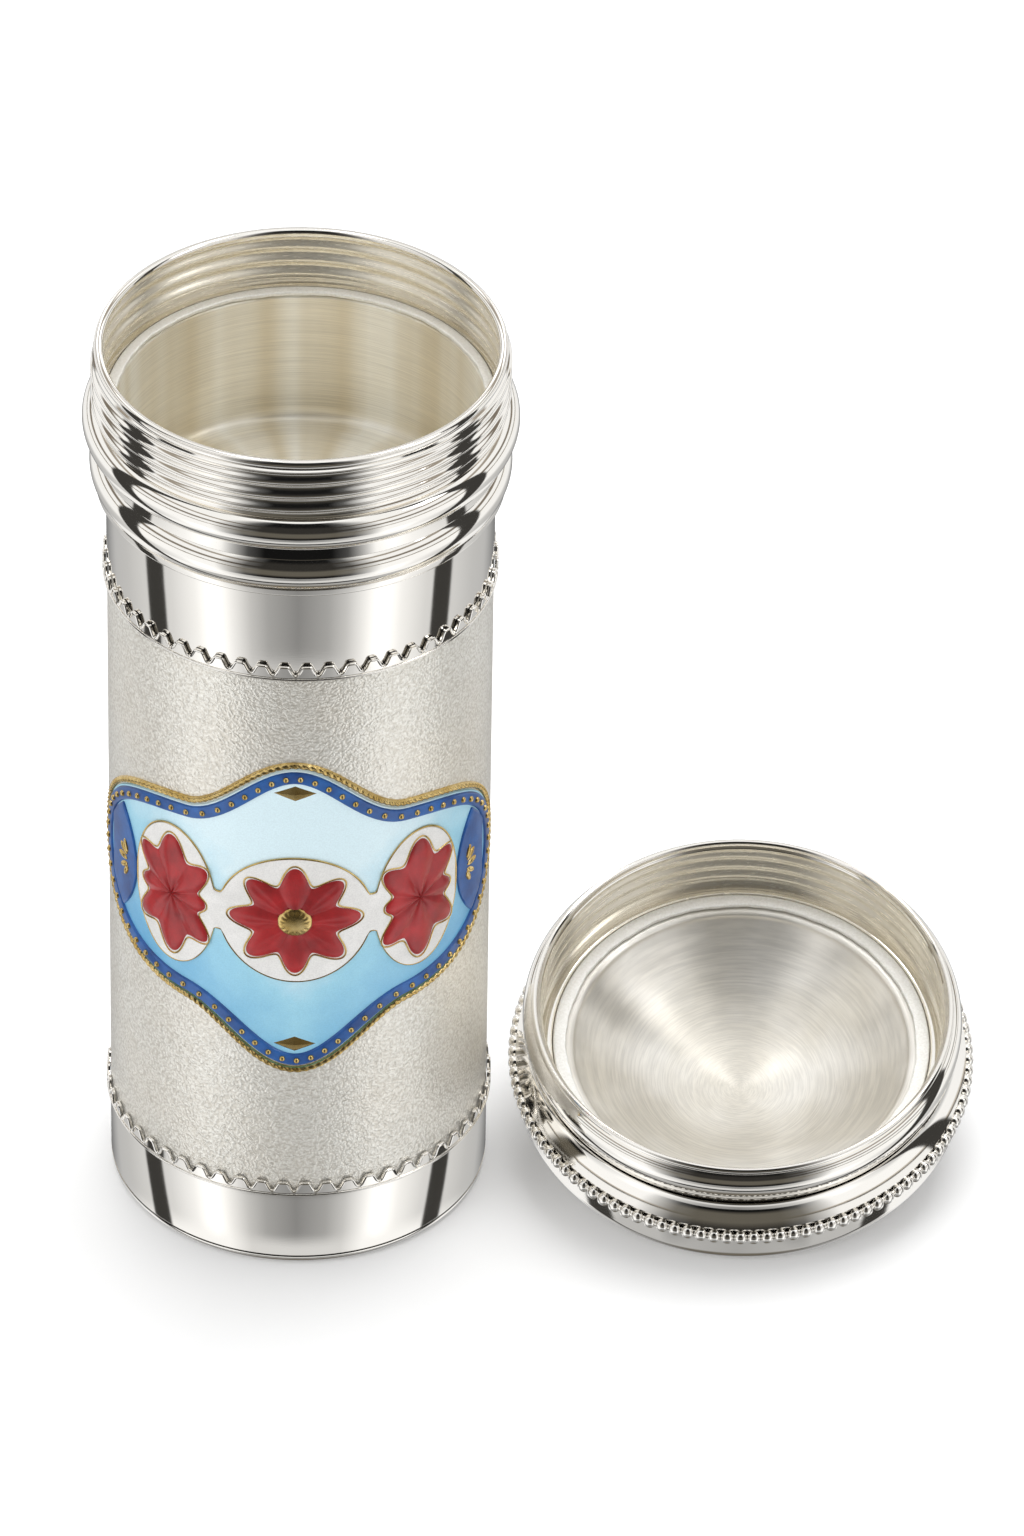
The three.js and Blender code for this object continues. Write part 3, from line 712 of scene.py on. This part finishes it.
def lower_ring(size, ring_above):
    """Half-round moulding that stands on its thin flange, with a cove of solder up to the ring above"""
    bulge_base = size.low + FLANGE_HEIGHT
    centre = size.outer - LOWER_RING_ROUND
    highest = acos((size.inner - centre) / LOWER_RING_ROUND)
    widest = size.high - LOWER_RING_ROUND * sin(highest)
    lowest = asin((bulge_base - widest) / LOWER_RING_ROUND)
    ends = degrees(lowest), degrees(highest) - COVE_START_DEG
    bulge = arc(centre, widest, LOWER_RING_ROUND, *ends, 40)
    cove = eased([bulge[-2], bulge[-1], (size.inner + COVE_GAP, ring_above - COVE_GAP)], 0.5, False, 8)
    edge = size.outer - FLANGE_STEP
    lip = eased([(size.inner, size.low), (edge, size.low), (edge, bulge_base), bulge[0]], 0.35, False, 6)
    return turned(lip + bulge[1:-2] + cove)


def sleeve_sheet(size):
    return turned(eased(rectangle(*size), 0.12))


def gallery_strip(size):
    """Arches with a raised wire edge and a recessed middle, on a thin straight ridge"""
    inner, outer, low, high = size
    teeth = round(2 * pi * inner / TOOTH_PITCH)
    pitch = 2 * pi * inner / teeth
    flank = (1 - TOOTH_TOP_SHARE) / 2 * pitch
    valley = low + STRIP_RIDGE
    corners = [(-flank, high), (0, valley), (flank, high), (pitch - flank, high), (pitch, valley)]
    tooth = eased(corners, ARCH_EASE, False, 7)[1:-1]
    edge = moved_outline([corners[0], *tooth, corners[-1]], ARCH_WIRE)[1:-1]

    def all_round(path, scale=1.0):
        return [((along + i * pitch) * scale, height) for i in range(teeth) for along, height in path]

    heights = {along / inner: height for along, height in all_round(tooth)}
    recess = inner + ARCH_RECESS
    sheet = swept(lambda angle: rectangle(inner, recess, low, heights[angle]), list(heights))
    circle = outer - ARCH_WIRE
    arches = wire(all_round(edge, circle / inner), ARCH_WIRE, circle)
    ridge = turned(arc(outer - RIDGE_WIRE, low + RIDGE_WIRE, RIDGE_WIRE, 0, 330, 11))
    return joined(sheet, arches, ridge)


# Lid pieces

def lid_collar(size, ring_top):
    """Bulged collar with a rolled rim and the inner screw thread"""
    outer = size.outer - COLLAR_BULGE
    rim = COLLAR_SHEET / 2
    bulge_height = CREASE_DEPTH - SEAT_GAP - COLLAR_SHEET
    mean = outer - COLLAR_SHEET - THREAD_DEPTH / 2
    recess = mean + SLIP
    shelf, shelf_depth = recess - SHELF_REACH, LID_SEAT_DEPTH + SHELF_DROP
    low, high = COLLAR_SHEET, LID_SEAT_DEPTH - COLLAR_SHEET
    phase = ring_top + CLOSED_RIM_GAP
    lip = arc(outer - rim, rim, rim, 180, 360, 16)
    bulge = []
    for t in between(0.0, 1.0, 32):
        swell = COLLAR_BULGE * sin(pi * t ** BULGE_SKEW)
        bulge.append((outer + swell, low + bulge_height * t))
    shelf_top = arc(shelf + SHELF_ROUND, shelf_depth, SHELF_ROUND, 180, 360, 10, SHELF_DROP)

    def section(angle):
        return [
            *lip, *bulge, (outer, size.high), (shelf, size.high), (shelf, shelf_depth + SHELF_EDGE),
            *shelf_top, (recess, shelf_depth), (recess, high + THREAD_RUNOUT),
            *reversed(thread(mean, angle, low, high, phase)),
        ]
    return swept(section, turn_angles())


def lid_liner(size):
    """Spun bowl with a rounded shoulder under the ledge"""
    drop = BOWL_SHOULDER / 2
    bowl_edge = LID_LEDGE_INNER - BOWL_SHOULDER
    depth = size.high - LINER_SHEET - size.low - drop
    sphere = (bowl_edge ** 2 + depth ** 2) / (2 * depth)
    bowl = []
    for r in between(0.0, bowl_edge, 64):
        bowl.append((r, size.low + drop + depth - sphere + sqrt(sphere ** 2 - r ** 2)))
    back = [(r, z + LINER_SHEET) for r, z in reversed(bowl)]
    shoulder = arc(LID_LEDGE_INNER, size.low + drop, BOWL_SHOULDER, 180, 270, 10, drop)
    return turned([*bowl, *shoulder[1:], (size.outer, size.low), (size.outer, size.low + LINER_SHEET), *back])


def lid_skirt(size):
    """Concave flare that ends in a thin rounded lip"""
    inner, outer, low, high = size
    start, flare_high = inner + SHEET / 4, high - SHEET / 2
    flare = []
    for t in between(0.0, 1.0, 28):
        reach = (outer - start) * t ** FLARE_CURVE
        flare.append((start + reach, low + (flare_high - low) * t))
    lip = eased([flare[-1], (outer, high), (inner + SHEET, high), (inner, high - SHEET)], 0.16, False)
    return turned([*flare, *lip[1:], (inner, low)])


def lid_bead_ring(size):
    """Ring of small round beads strung on a core"""
    circle = size.outer - BEAD_RADIUS
    middle = (size.low + size.high) / 2
    beads = round(2 * pi * circle / BEAD_PITCH)
    core = BEAD_RADIUS * BEAD_CORE_SHARE
    parts = [turned(arc(circle, middle, core, 0, 330, 11))]
    half_sizes = (pi * circle / beads * BEAD_LENGTH_SHARE, BEAD_RADIUS, BEAD_RADIUS)
    for angle in turn_angles(beads):
        centre = Vector(round_point(circle, angle, middle))
        parts.append(ball(centre, directions_at(angle), half_sizes, 10, 16, BEAD_SQUARENESS))
    return joined(*parts)


def lid_dome(size):
    """Rounded shoulder and a low cone with a softened tip"""
    slope = tan(radians(DOME_SLOPE_DEG))
    apex = size.high + DOME_TIP_RADIUS / 2 * slope
    centre = size.outer - SHOULDER_ROUND
    centre_depth = apex - centre * slope - SHOULDER_ROUND / cos(radians(DOME_SLOPE_DEG))
    shoulder = arc(centre, centre_depth, SHOULDER_ROUND, 0, 90 - DOME_SLOPE_DEG, 24)
    inside = arc(centre, centre_depth, SHOULDER_ROUND - SHEET, 90 - DOME_SLOPE_DEG, 0, 16)
    tip = [(r, size.high - slope * r * r / (2 * DOME_TIP_RADIUS)) for r in between(0.0, DOME_TIP_RADIUS, 8)]
    return turned([
        *tip, *reversed(shoulder), (size.outer, size.low + DOME_BEVEL), (size.outer - DOME_BEVEL, size.low),
        (size.outer - SHEET, size.low), *reversed(inside), (0, size.high - SHEET),
    ])


# Plaque: outlines as distances along the arc and heights

def plaque_half_height(along):
    share = abs(along) / PLAQUE_HALF_WIDTH
    side = PLAQUE_SIDE_HEIGHT * sqrt(max(0.0, 1 - share ** PLAQUE_SQUARENESS))
    if abs(along) > LOBE_HALF_WIDTH:
        return side
    return side + LOBE_HEIGHT * cos(pi * along / (2 * LOBE_HALF_WIDTH)) ** 2


def columns_between(start, end, count):
    """Distances along the arc, closer together towards both ends"""
    middle, reach = (start + end) / 2, (end - start) / 2 * 0.999
    return [middle + reach * sin(pi * (i / count - 0.5)) for i in range(count + 1)]


def resampled(path, spacing):
    """A closed path as evenly spaced points"""
    lengths = [0.0]
    for i, (x, y) in enumerate(path):
        after = path[(i + 1) % len(path)]
        lengths.append(lengths[-1] + hypot(after[0] - x, after[1] - y))
    count = round(lengths[-1] / spacing)
    points, i = [], 0
    for k in range(count):
        target = lengths[-1] * k / count
        while lengths[i + 1] < target:
            i += 1
        share = (target - lengths[i]) / (lengths[i + 1] - lengths[i])
        (x0, y0), (x1, y1) = path[i], path[(i + 1) % len(path)]
        points.append((x0 + (x1 - x0) * share, y0 + (y1 - y0) * share))
    return points


def mirrored_outline(half_height_at, reach, count, spacing):
    """Closed outline that is mirrored about the plaque's middle height"""
    columns = columns_between(-reach, reach, count)
    lower = [(a, PLAQUE_MIDDLE - half_height_at(a)) for a in columns]
    upper = [(a, PLAQUE_MIDDLE + half_height_at(a)) for a in reversed(columns)]
    return resampled(lower + upper, spacing)


def plaque_outline(spacing):
    return mirrored_outline(plaque_half_height, PLAQUE_HALF_WIDTH, OUTLINE_COLUMNS, spacing)


def edge_round(distance, reach):
    """Height near an edge: a quarter round over the reach, then level"""
    return sqrt(1 - (1 - min(max(distance, 0.0) / reach, 1.0)) ** 2)


def on_plaque(radius, along, height):
    return round_point(radius, along / PLAQUE_ARC_RADIUS, height)


def band(outer_offset, inner_offset, low, high_at, spacing, steps=8):
    """Raised band that follows the plaque's outline, its top a function of place and share across"""
    outline = plaque_outline(spacing)
    rings = [moved_outline(outline, offset) for offset in between(outer_offset, inner_offset, steps)]
    points = []
    for i in range(len(outline)):
        points += [on_plaque(high_at(i, k / steps), *rings[k][i]) for k in range(steps + 1)]
        points += [on_plaque(low, *rings[k][i]) for k in (steps, 0)]
    return points, grid_faces(len(outline), steps + 3, True, True)


def plate(columns, half_height_at, low, high, edge):
    """Raised plate that is mirrored about the plaque's middle height, with rounded edges"""
    start, end = columns[0], columns[-1]
    shares = [sin(pi * (j / PLAQUE_ROWS - 0.5)) for j in range(PLAQUE_ROWS + 1)]
    top, back = [], []
    for along in columns:
        half = half_height_at(along)
        for share in shares:
            distance = min((1 - abs(share)) * half, abs(along - start), abs(end - along))
            height = PLAQUE_MIDDLE + share * half
            top.append(on_plaque(low + (high - low) * edge_round(distance, edge), along, height))
            back.append(on_plaque(low, along, height))
    faces = grid_faces(len(columns), PLAQUE_ROWS + 1, False, False)
    return joined((top, faces), (back, faces))


def relief(along_middle, height_middle, radius_at, lift_at, low, steps=192, rings=20):
    """Raised motif: its edge is a radius and its surface a lift, both changing with the angle"""
    top, back = [], []
    for angle in turn_angles(steps):
        for share in between(0.0, 1.0, rings):
            reach = radius_at(angle) * share
            place = along_middle + reach * cos(angle), height_middle + reach * sin(angle)
            top.append(on_plaque(low + lift_at(angle, share), *place))
            back.append(on_plaque(low, *place))
    faces = grid_faces(steps, rings + 1, True, False)
    return joined((top, faces), (back, faces))


def ridge_at(angle, lobes):
    """Height across a motif's lobes, from 0 in the valleys to 1 on the ridges"""
    return 0.5 + 0.5 * cos(lobes * angle)


def petal_radius(angle):
    return ROSETTE_RADIUS * (0.84 + 0.16 * cos(ROSETTE_PETALS * angle))


def petal_lift(angle, share):
    """Petals that swell between deep valleys, with a crease along the middle of each"""
    ridge = ridge_at(angle, ROSETTE_PETALS)
    crease = 0.2 * exp(-((1 - ridge) / 0.06) ** 2)
    body = (0.35 + 0.65 * ridge ** 0.5) * edge_round(1 - share, 0.28)
    return RELIEF_RISE * body * (1 - crease * share)


def palmette_radius(angle):
    width = PALMETTE_WIDTH + (PALMETTE_HEIGHT - PALMETTE_WIDTH) * abs(sin(angle)) ** 1.5
    return width * (0.86 + 0.14 * cos(PALMETTE_LOBES * angle))


def palmette_lift(angle, share):
    """Leaves that swell between valleys, round a hollow in the middle"""
    body = (0.3 + 0.7 * ridge_at(angle, PALMETTE_LOBES) ** 0.6) * edge_round(1 - share, 0.3)
    hollow = 0.35 * exp(-(share / 0.22) ** 2)
    return RELIEF_RISE * body * (1 - hollow)


def boss_lift(angle, share):
    """Domed button with a beaded rim"""
    dome = edge_round(1 - share, 1)
    beads = 0.12 * cos(BOSS_BEADS * angle) * exp(-((share - 0.78) / 0.12) ** 2)
    return BOSS_RISE * (dome + beads * (1 - share) * 2)


def lozenge_radius(angle):
    wide, tall = LOZENGE_WIDTH / 2, LOZENGE_HEIGHT / 2
    return 1 / (abs(cos(angle)) / wide + abs(sin(angle)) / tall)


def lozenge_lift(_, share):
    return LOZENGE_RISE * (1 - share) ** 0.8


def ground_half_height(along):
    """Pale ground behind the rosette and both palmettes, drawn in between them"""
    def lobe(distance, width, height):
        reach = width + GROUND_MARGIN
        return (height + GROUND_MARGIN) * edge_round(reach - abs(distance), reach)

    neck = GROUND_NECK if abs(along) < PALMETTE_OFFSET else 0.0
    palmette = lobe(abs(along) - PALMETTE_OFFSET, PALMETTE_WIDTH, PALMETTE_HEIGHT)
    return max(neck, lobe(along, ROSETTE_RADIUS, ROSETTE_RADIUS), palmette)


def panel_half_height(inset):
    """Half height of an end panel: a circle cut by the outline moved inwards"""
    centre = PLAQUE_HALF_WIDTH - PANEL_REACH + PANEL_RADIUS
    inside = [point for point in moved_outline(plaque_outline(0.25), -inset) if point[1] > PLAQUE_MIDDLE]
    inside.sort()

    def room(along):
        i = next((k for k, point in enumerate(inside) if point[0] >= along), 0)
        if i == 0:
            return 0.0
        (x0, z0), (x1, z1) = inside[i - 1], inside[i]
        return z0 + (z1 - z0) * (along - x0) / max(x1 - x0, 1e-6) - PLAQUE_MIDDLE

    def half_height(along):
        circle = PANEL_RADIUS * edge_round(PANEL_RADIUS - abs(centre - abs(along)), PANEL_RADIUS)
        return min(circle, room(abs(along)))
    return half_height


def end_panel(side):
    inset = BORDER_INSET + BORDER_WIDTH + SLIP
    near, far = PLAQUE_HALF_WIDTH - PANEL_REACH, PLAQUE_HALF_WIDTH - inset - BORDER_WIDTH / 2
    columns = [side * along for along in columns_between(near, far, 40)]
    return plate(columns, panel_half_height(inset), FIELD_TOP - SINK, PLATE_TOP, PLATE_EDGE)


def cell_outline(along_middle, radius_at):
    """Closed outline just outside a motif's edge"""
    path = []
    for angle in turn_angles(MOTIF_STEPS):
        reach = radius_at(angle) * CELL_REACH
        path.append((along_middle + reach * cos(angle), PLAQUE_MIDDLE + reach * sin(angle)))
    return path


def cell_wires():
    """Gold wires round the petals, palmettes and the pale ground"""
    ground = mirrored_outline(ground_half_height, GROUND_REACH, GROUND_COLUMNS, 0.5)
    wires = [(ground, FIELD_TOP + 0.12), (cell_outline(0.0, petal_radius), PLATE_TOP)]
    wires += [(cell_outline(side * PALMETTE_OFFSET, palmette_radius), PLATE_TOP) for side, _ in SIDES]
    scale = PLATE_TOP / PLAQUE_ARC_RADIUS
    return joined(*(wire([(a * scale, z) for a, z in path], CELL_WIRE, level) for path, level in wires))


def border_pearls():
    """Gold pearls along the middle of the dark border"""
    pearls = []
    for along, height in moved_outline(plaque_outline(PEARL_PITCH), -BORDER_INSET - BORDER_WIDTH / 2):
        centre = Vector(on_plaque(PLATE_TOP, along, height))
        pearls.append(ball(centre, directions_at(along / PLAQUE_ARC_RADIUS), (PEARL_RADIUS,) * 3, 6, 10))
    return joined(*pearls)


def panel_sprig(side):
    """Gold fan of leaves that opens towards the end of the plaque"""
    leaves = []
    root = PLAQUE_HALF_WIDTH - PANEL_REACH + SPRIG_ROOT
    for number, lean_deg in enumerate(SPRIG_LEANS_DEG):
        lean = radians(lean_deg)
        length = LEAF_LENGTH - LEAF_SHORTENING * abs(number - len(SPRIG_LEANS_DEG) // 2)
        along = side * (root + length * cos(lean) * 0.55)
        height = PLAQUE_MIDDLE + length * sin(lean) * 1.15
        across, out, up = directions_at(along / PLAQUE_ARC_RADIUS)
        tipwards = across * (side * cos(lean)) + up * sin(lean)
        directions = tipwards.cross(out), out, tipwards
        centre = Vector(on_plaque(PLATE_TOP, along, height))
        leaves.append(ball(centre, directions, (LEAF_HALF_WIDTH, LEAF_RISE, length / 2), 10, 12))
    return joined(*leaves)


# Dressing: each piece with its finish and the CAD node that it takes the place of

def dress_plaque():
    sky, gilding = sky_enamel(), gold()
    blue = enamel("blue_enamel", (0.004, 0.05, 0.22), (0.010, 0.12, 0.42))
    white = enamel("white_enamel", (0.74, 0.73, 0.71), (0.86, 0.85, 0.83))
    red = enamel("red_enamel", (0.24, 0.003, 0.005), (0.46, 0.008, 0.011))
    on_sleeve, on_field, on_plate = SLEEVE_FACE - SINK, FIELD_TOP - SINK, PLATE_TOP - SINK
    columns = columns_between(-PLAQUE_HALF_WIDTH, PLAQUE_HALF_WIDTH, PLAQUE_COLUMNS)
    field = plate(columns, plaque_half_height, on_sleeve, FIELD_TOP, 0.2)
    make("field_skin", field, sky, ["plaque_field"])

    def rope(i, share):
        twist = 0.5 + 0.5 * cos(2 * pi * (i / ROPE_STEPS + share))
        crown = edge_round(0.5 - abs(share - 0.5), 0.5)
        return SLEEVE_FACE + (PLATE_TOP - SLEEVE_FACE) * crown ** 0.8 * (1 - 0.3 * twist)

    frame_band = band(SLIP + FRAME_WIDTH, SLIP, on_sleeve, rope, ROPE_PITCH / ROPE_STEPS)
    make("frame_skin", frame_band, gilding, ["plaque_frame"])

    def slab(_, share):
        from_edge = BORDER_WIDTH * (0.5 - abs(share - 0.5))
        return on_field + (PLATE_TOP - on_field) * edge_round(from_edge, PLATE_EDGE)

    border = band(-BORDER_INSET, -BORDER_INSET - BORDER_WIDTH, on_field, slab, 0.5, 12)
    make("border_skin", border, blue, ["plaque_border"])
    for side, word in SIDES:
        make(word + "_panel_skin", end_panel(side), blue, [word + "_panel"])
    ground_columns = columns_between(-GROUND_REACH, GROUND_REACH, PLAQUE_COLUMNS)
    ground = plate(ground_columns, ground_half_height, on_field, PLATE_TOP, PLATE_EDGE)
    make("ground_skin", ground, white, ["pale_ground"])
    rosette = relief(0.0, PLAQUE_MIDDLE, petal_radius, petal_lift, on_plate)
    make("rosette_skin", rosette, red, ["rosette"], sharp_deg=70)
    on_rosette = on_plate + RELIEF_RISE * 0.7
    boss = relief(0.0, PLAQUE_MIDDLE, lambda _: BOSS_RADIUS, boss_lift, on_rosette, 96, 16)
    make("boss_skin", boss, gilding, ["rosette_boss"])
    for side, word in SIDES:
        palmette = relief(side * PALMETTE_OFFSET, PLAQUE_MIDDLE, palmette_radius, palmette_lift, on_plate)
        make(word + "_palmette_skin", palmette, red, [word + "_palmette"], sharp_deg=70)
        make(word + "_sprig", panel_sprig(side), gilding)
    clear = BORDER_INSET + BORDER_WIDTH + 3 * SLIP + LOZENGE_HEIGHT / 2
    for side, word in ((1, "upper"), (-1, "lower")):
        middle = PLAQUE_MIDDLE + side * (plaque_half_height(0) - clear)
        lozenge = relief(0.0, middle, lozenge_radius, lozenge_lift, on_field, 64, 8)
        make(word + "_lozenge_skin", lozenge, gilding, [word + "_lozenge"], sharp_deg=15)
    make("cell_wires", cell_wires(), gilding)
    make("border_pearls", border_pearls(), gilding)


def skin(name, node, shape_of, finish, *measures, **settings):
    """The piece in the place of one CAD node, on the canister or on the lid"""
    body, place = ("lid", LID) if node.startswith("lid_") else ("canister", CANISTER)
    make(name, shape_of(extent(node, place), *measures), finish, [node], body, place, **settings)


def dress_metal():
    silver, gilt, solder = polished_silver(), gilt_silver(), matt_solder()
    neck, above = extent("neck_collar"), extent("upper_ring")
    in_neck = (gilt, neck.low, neck.high - 1.5 * LIP_RADIUS)
    in_collar = (gilt, COLLAR_SHEET, extent("lid_collar", LID).high)
    # The cup's satin gets painted reflection: upright lighter and darker warm bands round the axis, in place
    # of mirrored surroundings
    satin_wall = satin_silver("satin_wall", (0.76, 0.675, 0.50), (1.0, 0.98, 0.90), 3.6, 0.4)
    satin_bowl = satin_silver("satin_bowl", (0.77, 0.735, 0.66), (0.92, 0.895, 0.84), 0.0, 0.6)
    skin("tube_skin", "body_tube", body_tube, silver, extent("stippled_sleeve"))
    skin("base_skin", "base_cap", base_cap, silver)
    skin("cup_skin", "inner_cup", inner_cup, satin_wall)
    skin("ledge_skin", "seat_ring", seat_ring, solder)
    skin("neck_skin", "neck_collar", neck_collar, silver, extent("body_tube"), above.high, inside=in_neck)
    skin("upper_ring_skin", "upper_ring", upper_ring, silver)
    skin("lower_ring_skin", "lower_ring", lower_ring, silver, above.low)
    skin("sleeve_skin", "stippled_sleeve", sleeve_sheet, stippled_silver())
    for word in ("upper", "lower"):
        skin(word + "_gallery_skin", word + "_gallery_strip", gallery_strip, silver)
    skin("lid_collar_skin", "lid_collar", lid_collar, silver, above.high, inside=in_collar)
    skin("lid_ledge_skin", "lid_seat_ring", seat_ring, solder)
    skin("lid_liner_skin", "lid_liner", lid_liner, satin_bowl)
    skin("lid_skirt_skin", "lid_skirt", lid_skirt, silver)
    skin("lid_bead_skin", "lid_bead_ring", lid_bead_ring, silver)
    skin("lid_dome_skin", "lid_dome", lid_dome, silver)


# Studio: what glossy surfaces mirror, the floor, the lamps and the camera

def studio_world():
    """Plain light for soft surfaces, and for mirrors a pale room with two narrow flags and a dark front"""
    world = bpy.data.worlds.new("studio")
    scene.world = world
    nodes = Nodes(world)
    x, y, z = nodes.split(nodes.vector("NORMALIZE", nodes.add("TexCoord", output="Generated")))
    # Turn is 0 in front and 1 behind, and height is 0 straight down and 1 straight up
    angle = nodes.math("ARCTAN2", x, nodes.math("MULTIPLY", y, -1.0))
    turn = nodes.math("ABSOLUTE", nodes.math("DIVIDE", angle, pi))
    height = nodes.scaled(z, 0.5, 0.5)

    floor_beyond = nodes.ramp(turn, [
        (0.0, 0.25), (0.10, 0.38), (0.16, 0.57), (0.22, 0.90), (0.285, 1.3), (0.36, 0.95), (0.46, 0.70),
        (0.58, 0.66), (0.70, 0.54), (0.80, 0.50), (0.90, 0.28), (1.0, 0.16),
    ])
    shaded = nodes.ramp(turn, [(0.0, 0.03), (0.22, 0.04), (0.32, 0.5), (1.0, 0.55)])
    under = nodes.ramp(turn, [(0.0, 0.38), (0.3, 0.48), (0.6, 0.40), (0.9, 0.14)])
    nearer = nodes.ramp(turn, [
        (0.0, 0.68), (0.16, 0.70), (0.24, 1.0), (0.46, 1.0), (0.86, 0.9), (0.93, 0.4), (1.0, 0.3),
    ])
    beyond = nodes.ramp(turn, [(0.0, 0.95), (0.85, 0.95), (0.875, 2.4), (0.91, 2.4), (0.935, 0.95)])
    grey, dim, black = (0.12, 0.11, 0.09), (0.03, 0.028, 0.025), (0.007, 0.007, 0.007)
    panel = nodes.ramp(height, [
        (0.30, black), (0.38, grey), (0.52, grey), (0.60, dim), (0.80, dim), (0.88, black),
    ])
    in_front = nodes.ramp(turn, [(0.10, 1), (0.15, 0.9), (0.20, 0.4), (0.235, 0)])
    over_table = nodes.ramp(height, [(0.235, 0), (0.255, 1)])

    # Each layer covers the ones before it where its share is 1
    layers_by_height = [
        ([(0.145, 1), (0.165, 0)], nearer),
        ([(0.25, 0), (0.32, 1)], nearer),
        ([(0.475, 0), (0.48, 1)], (0.56, 0.51, 0.44)),
        ([(0.492, 0), (0.496, 1)], (0.06, 0.055, 0.05)),
        ([(0.506, 0), (0.51, 1)], (0.95, 0.95, 0.945)),
        ([(0.53, 0), (0.58, 1), (0.82, 1), (0.88, 0)], beyond),
        ([(0.60, 0), (0.62, 1), (0.66, 1), (0.68, 0)], (0.20, 0.17, 0.135)),
        ([(0.78, 0), (0.79, 1), (0.82, 1), (0.835, 0)], (0.34, 0.30, 0.25)),
        ([(0.08, 1), (0.092, 0)], shaded),
        ([(0.045, 1), (0.055, 0)], under),
        ([(0.006, 1), (0.03, 0)], (0.15, 0.135, 0.11)),
    ]
    layers = [(nodes.ramp(height, stops), colour) for stops, colour in layers_by_height]
    layers += [
        (nodes.math("MULTIPLY", in_front, over_table), panel),
        (nodes.ramp(turn, [(0.485, 0), (0.493, 1), (0.572, 1), (0.58, 0)]), (0.045, 0.043, 0.04)),
        (nodes.ramp(height, [(0.975, 0), (0.985, 1)]), 1.0),
    ]
    room = floor_beyond
    for share, colour in layers:
        room = nodes.blend(share, room, colour)

    def background(colour, strength):
        return nodes.add("Background", {"Color": colour, "Strength": strength})

    path = nodes.node("LightPath").outputs
    lit_again = nodes.math("MINIMUM", path["Diffuse Depth"], 1.0)
    mirrored = background(room, nodes.scaled(lit_again, MIRRORED_AGAIN - MIRROR_LEVEL, MIRROR_LEVEL))
    plain = background(1.0, ROOM_LEVEL)
    glossy = nodes.add("MixShader", {0: path["Is Glossy Ray"], 1: plain, 2: mirrored})
    seen = nodes.add("MixShader", {0: path["Is Camera Ray"], 1: glossy, 2: background(1.0, 1.0)})
    nodes.node("OutputWorld", {"Surface": seen})


def studio_floor():
    """Pale floor that keeps soft shadows, lifted to white where the camera sees it"""
    nodes = new_material("studio_floor")
    lit = nodes.add("BsdfDiffuse", {"Color": 0.93})
    lift = nodes.math("MULTIPLY", nodes.add("LightPath", output="Is Camera Ray"), FLOOR_LIFT)
    glow = nodes.add("Emission", {"Color": 1.0, "Strength": lift})
    both = nodes.add("AddShader", {0: lit, 1: glow})
    nodes.node("OutputMaterial", {"Surface": both})
    mesh = bpy.data.meshes.new("floor")
    corners = rectangle(-FLOOR_REACH, FLOOR_REACH, -FLOOR_REACH, FLOOR_REACH)
    mesh.from_pydata([(x, y, -FLOOR_DROP) for x, y in corners], [], [(0, 1, 2, 3)])
    mesh.materials.append(nodes.owner)
    floor = placed("floor", mesh)
    floor.visible_glossy = False


def softbox(name, place, size, power, mirrored=False):
    """Square lamp that looks at the middle of the object"""
    lamp = bpy.data.lights.new(name, "AREA")
    lamp.shape = "SQUARE"
    lamp.size = size
    lamp.energy = power
    made = placed(name, lamp)
    made.location = place
    made.rotation_euler = (AIM - Vector(place)).to_track_quat("-Z", "Y").to_euler()
    made.visible_glossy = mirrored
    made.visible_diffuse = not mirrored


def studio_camera():
    camera = placed("camera", bpy.data.cameras.new("camera"))
    camera.data.lens = LENS
    camera.data.clip_end = 20.0
    pitch = radians(PITCH_DOWN_DEG)
    look = Vector((0.0, cos(pitch), -sin(pitch)))
    turn = Matrix.Rotation(pi / 2 - pitch, 4, "X") @ Matrix.Rotation(radians(ROLL_DEG), 4, "Z")
    camera.matrix_world = Matrix.Translation(AIM - look * CAMERA_DISTANCE) @ turn
    scene.camera = camera


dress_plaque()
dress_metal()
studio_world()
studio_floor()
softbox("top_light", (0.1, 0.36, 1.16), 0.9, 9.0)
softbox("left_light", (-0.9, -0.7, 0.8), 0.6, 2.5)
softbox("right_sparkle", (0.66, -0.09, 0.85), 0.24, 0.55, True)
softbox("left_spoke", (-0.13, 0.22, 0.92), 0.12, 0.25, True)
softbox("right_spoke", (0.25, 0.22, 0.92), 0.12, 0.25, True)
studio_camera()
scene.view_settings.view_transform = "Standard"
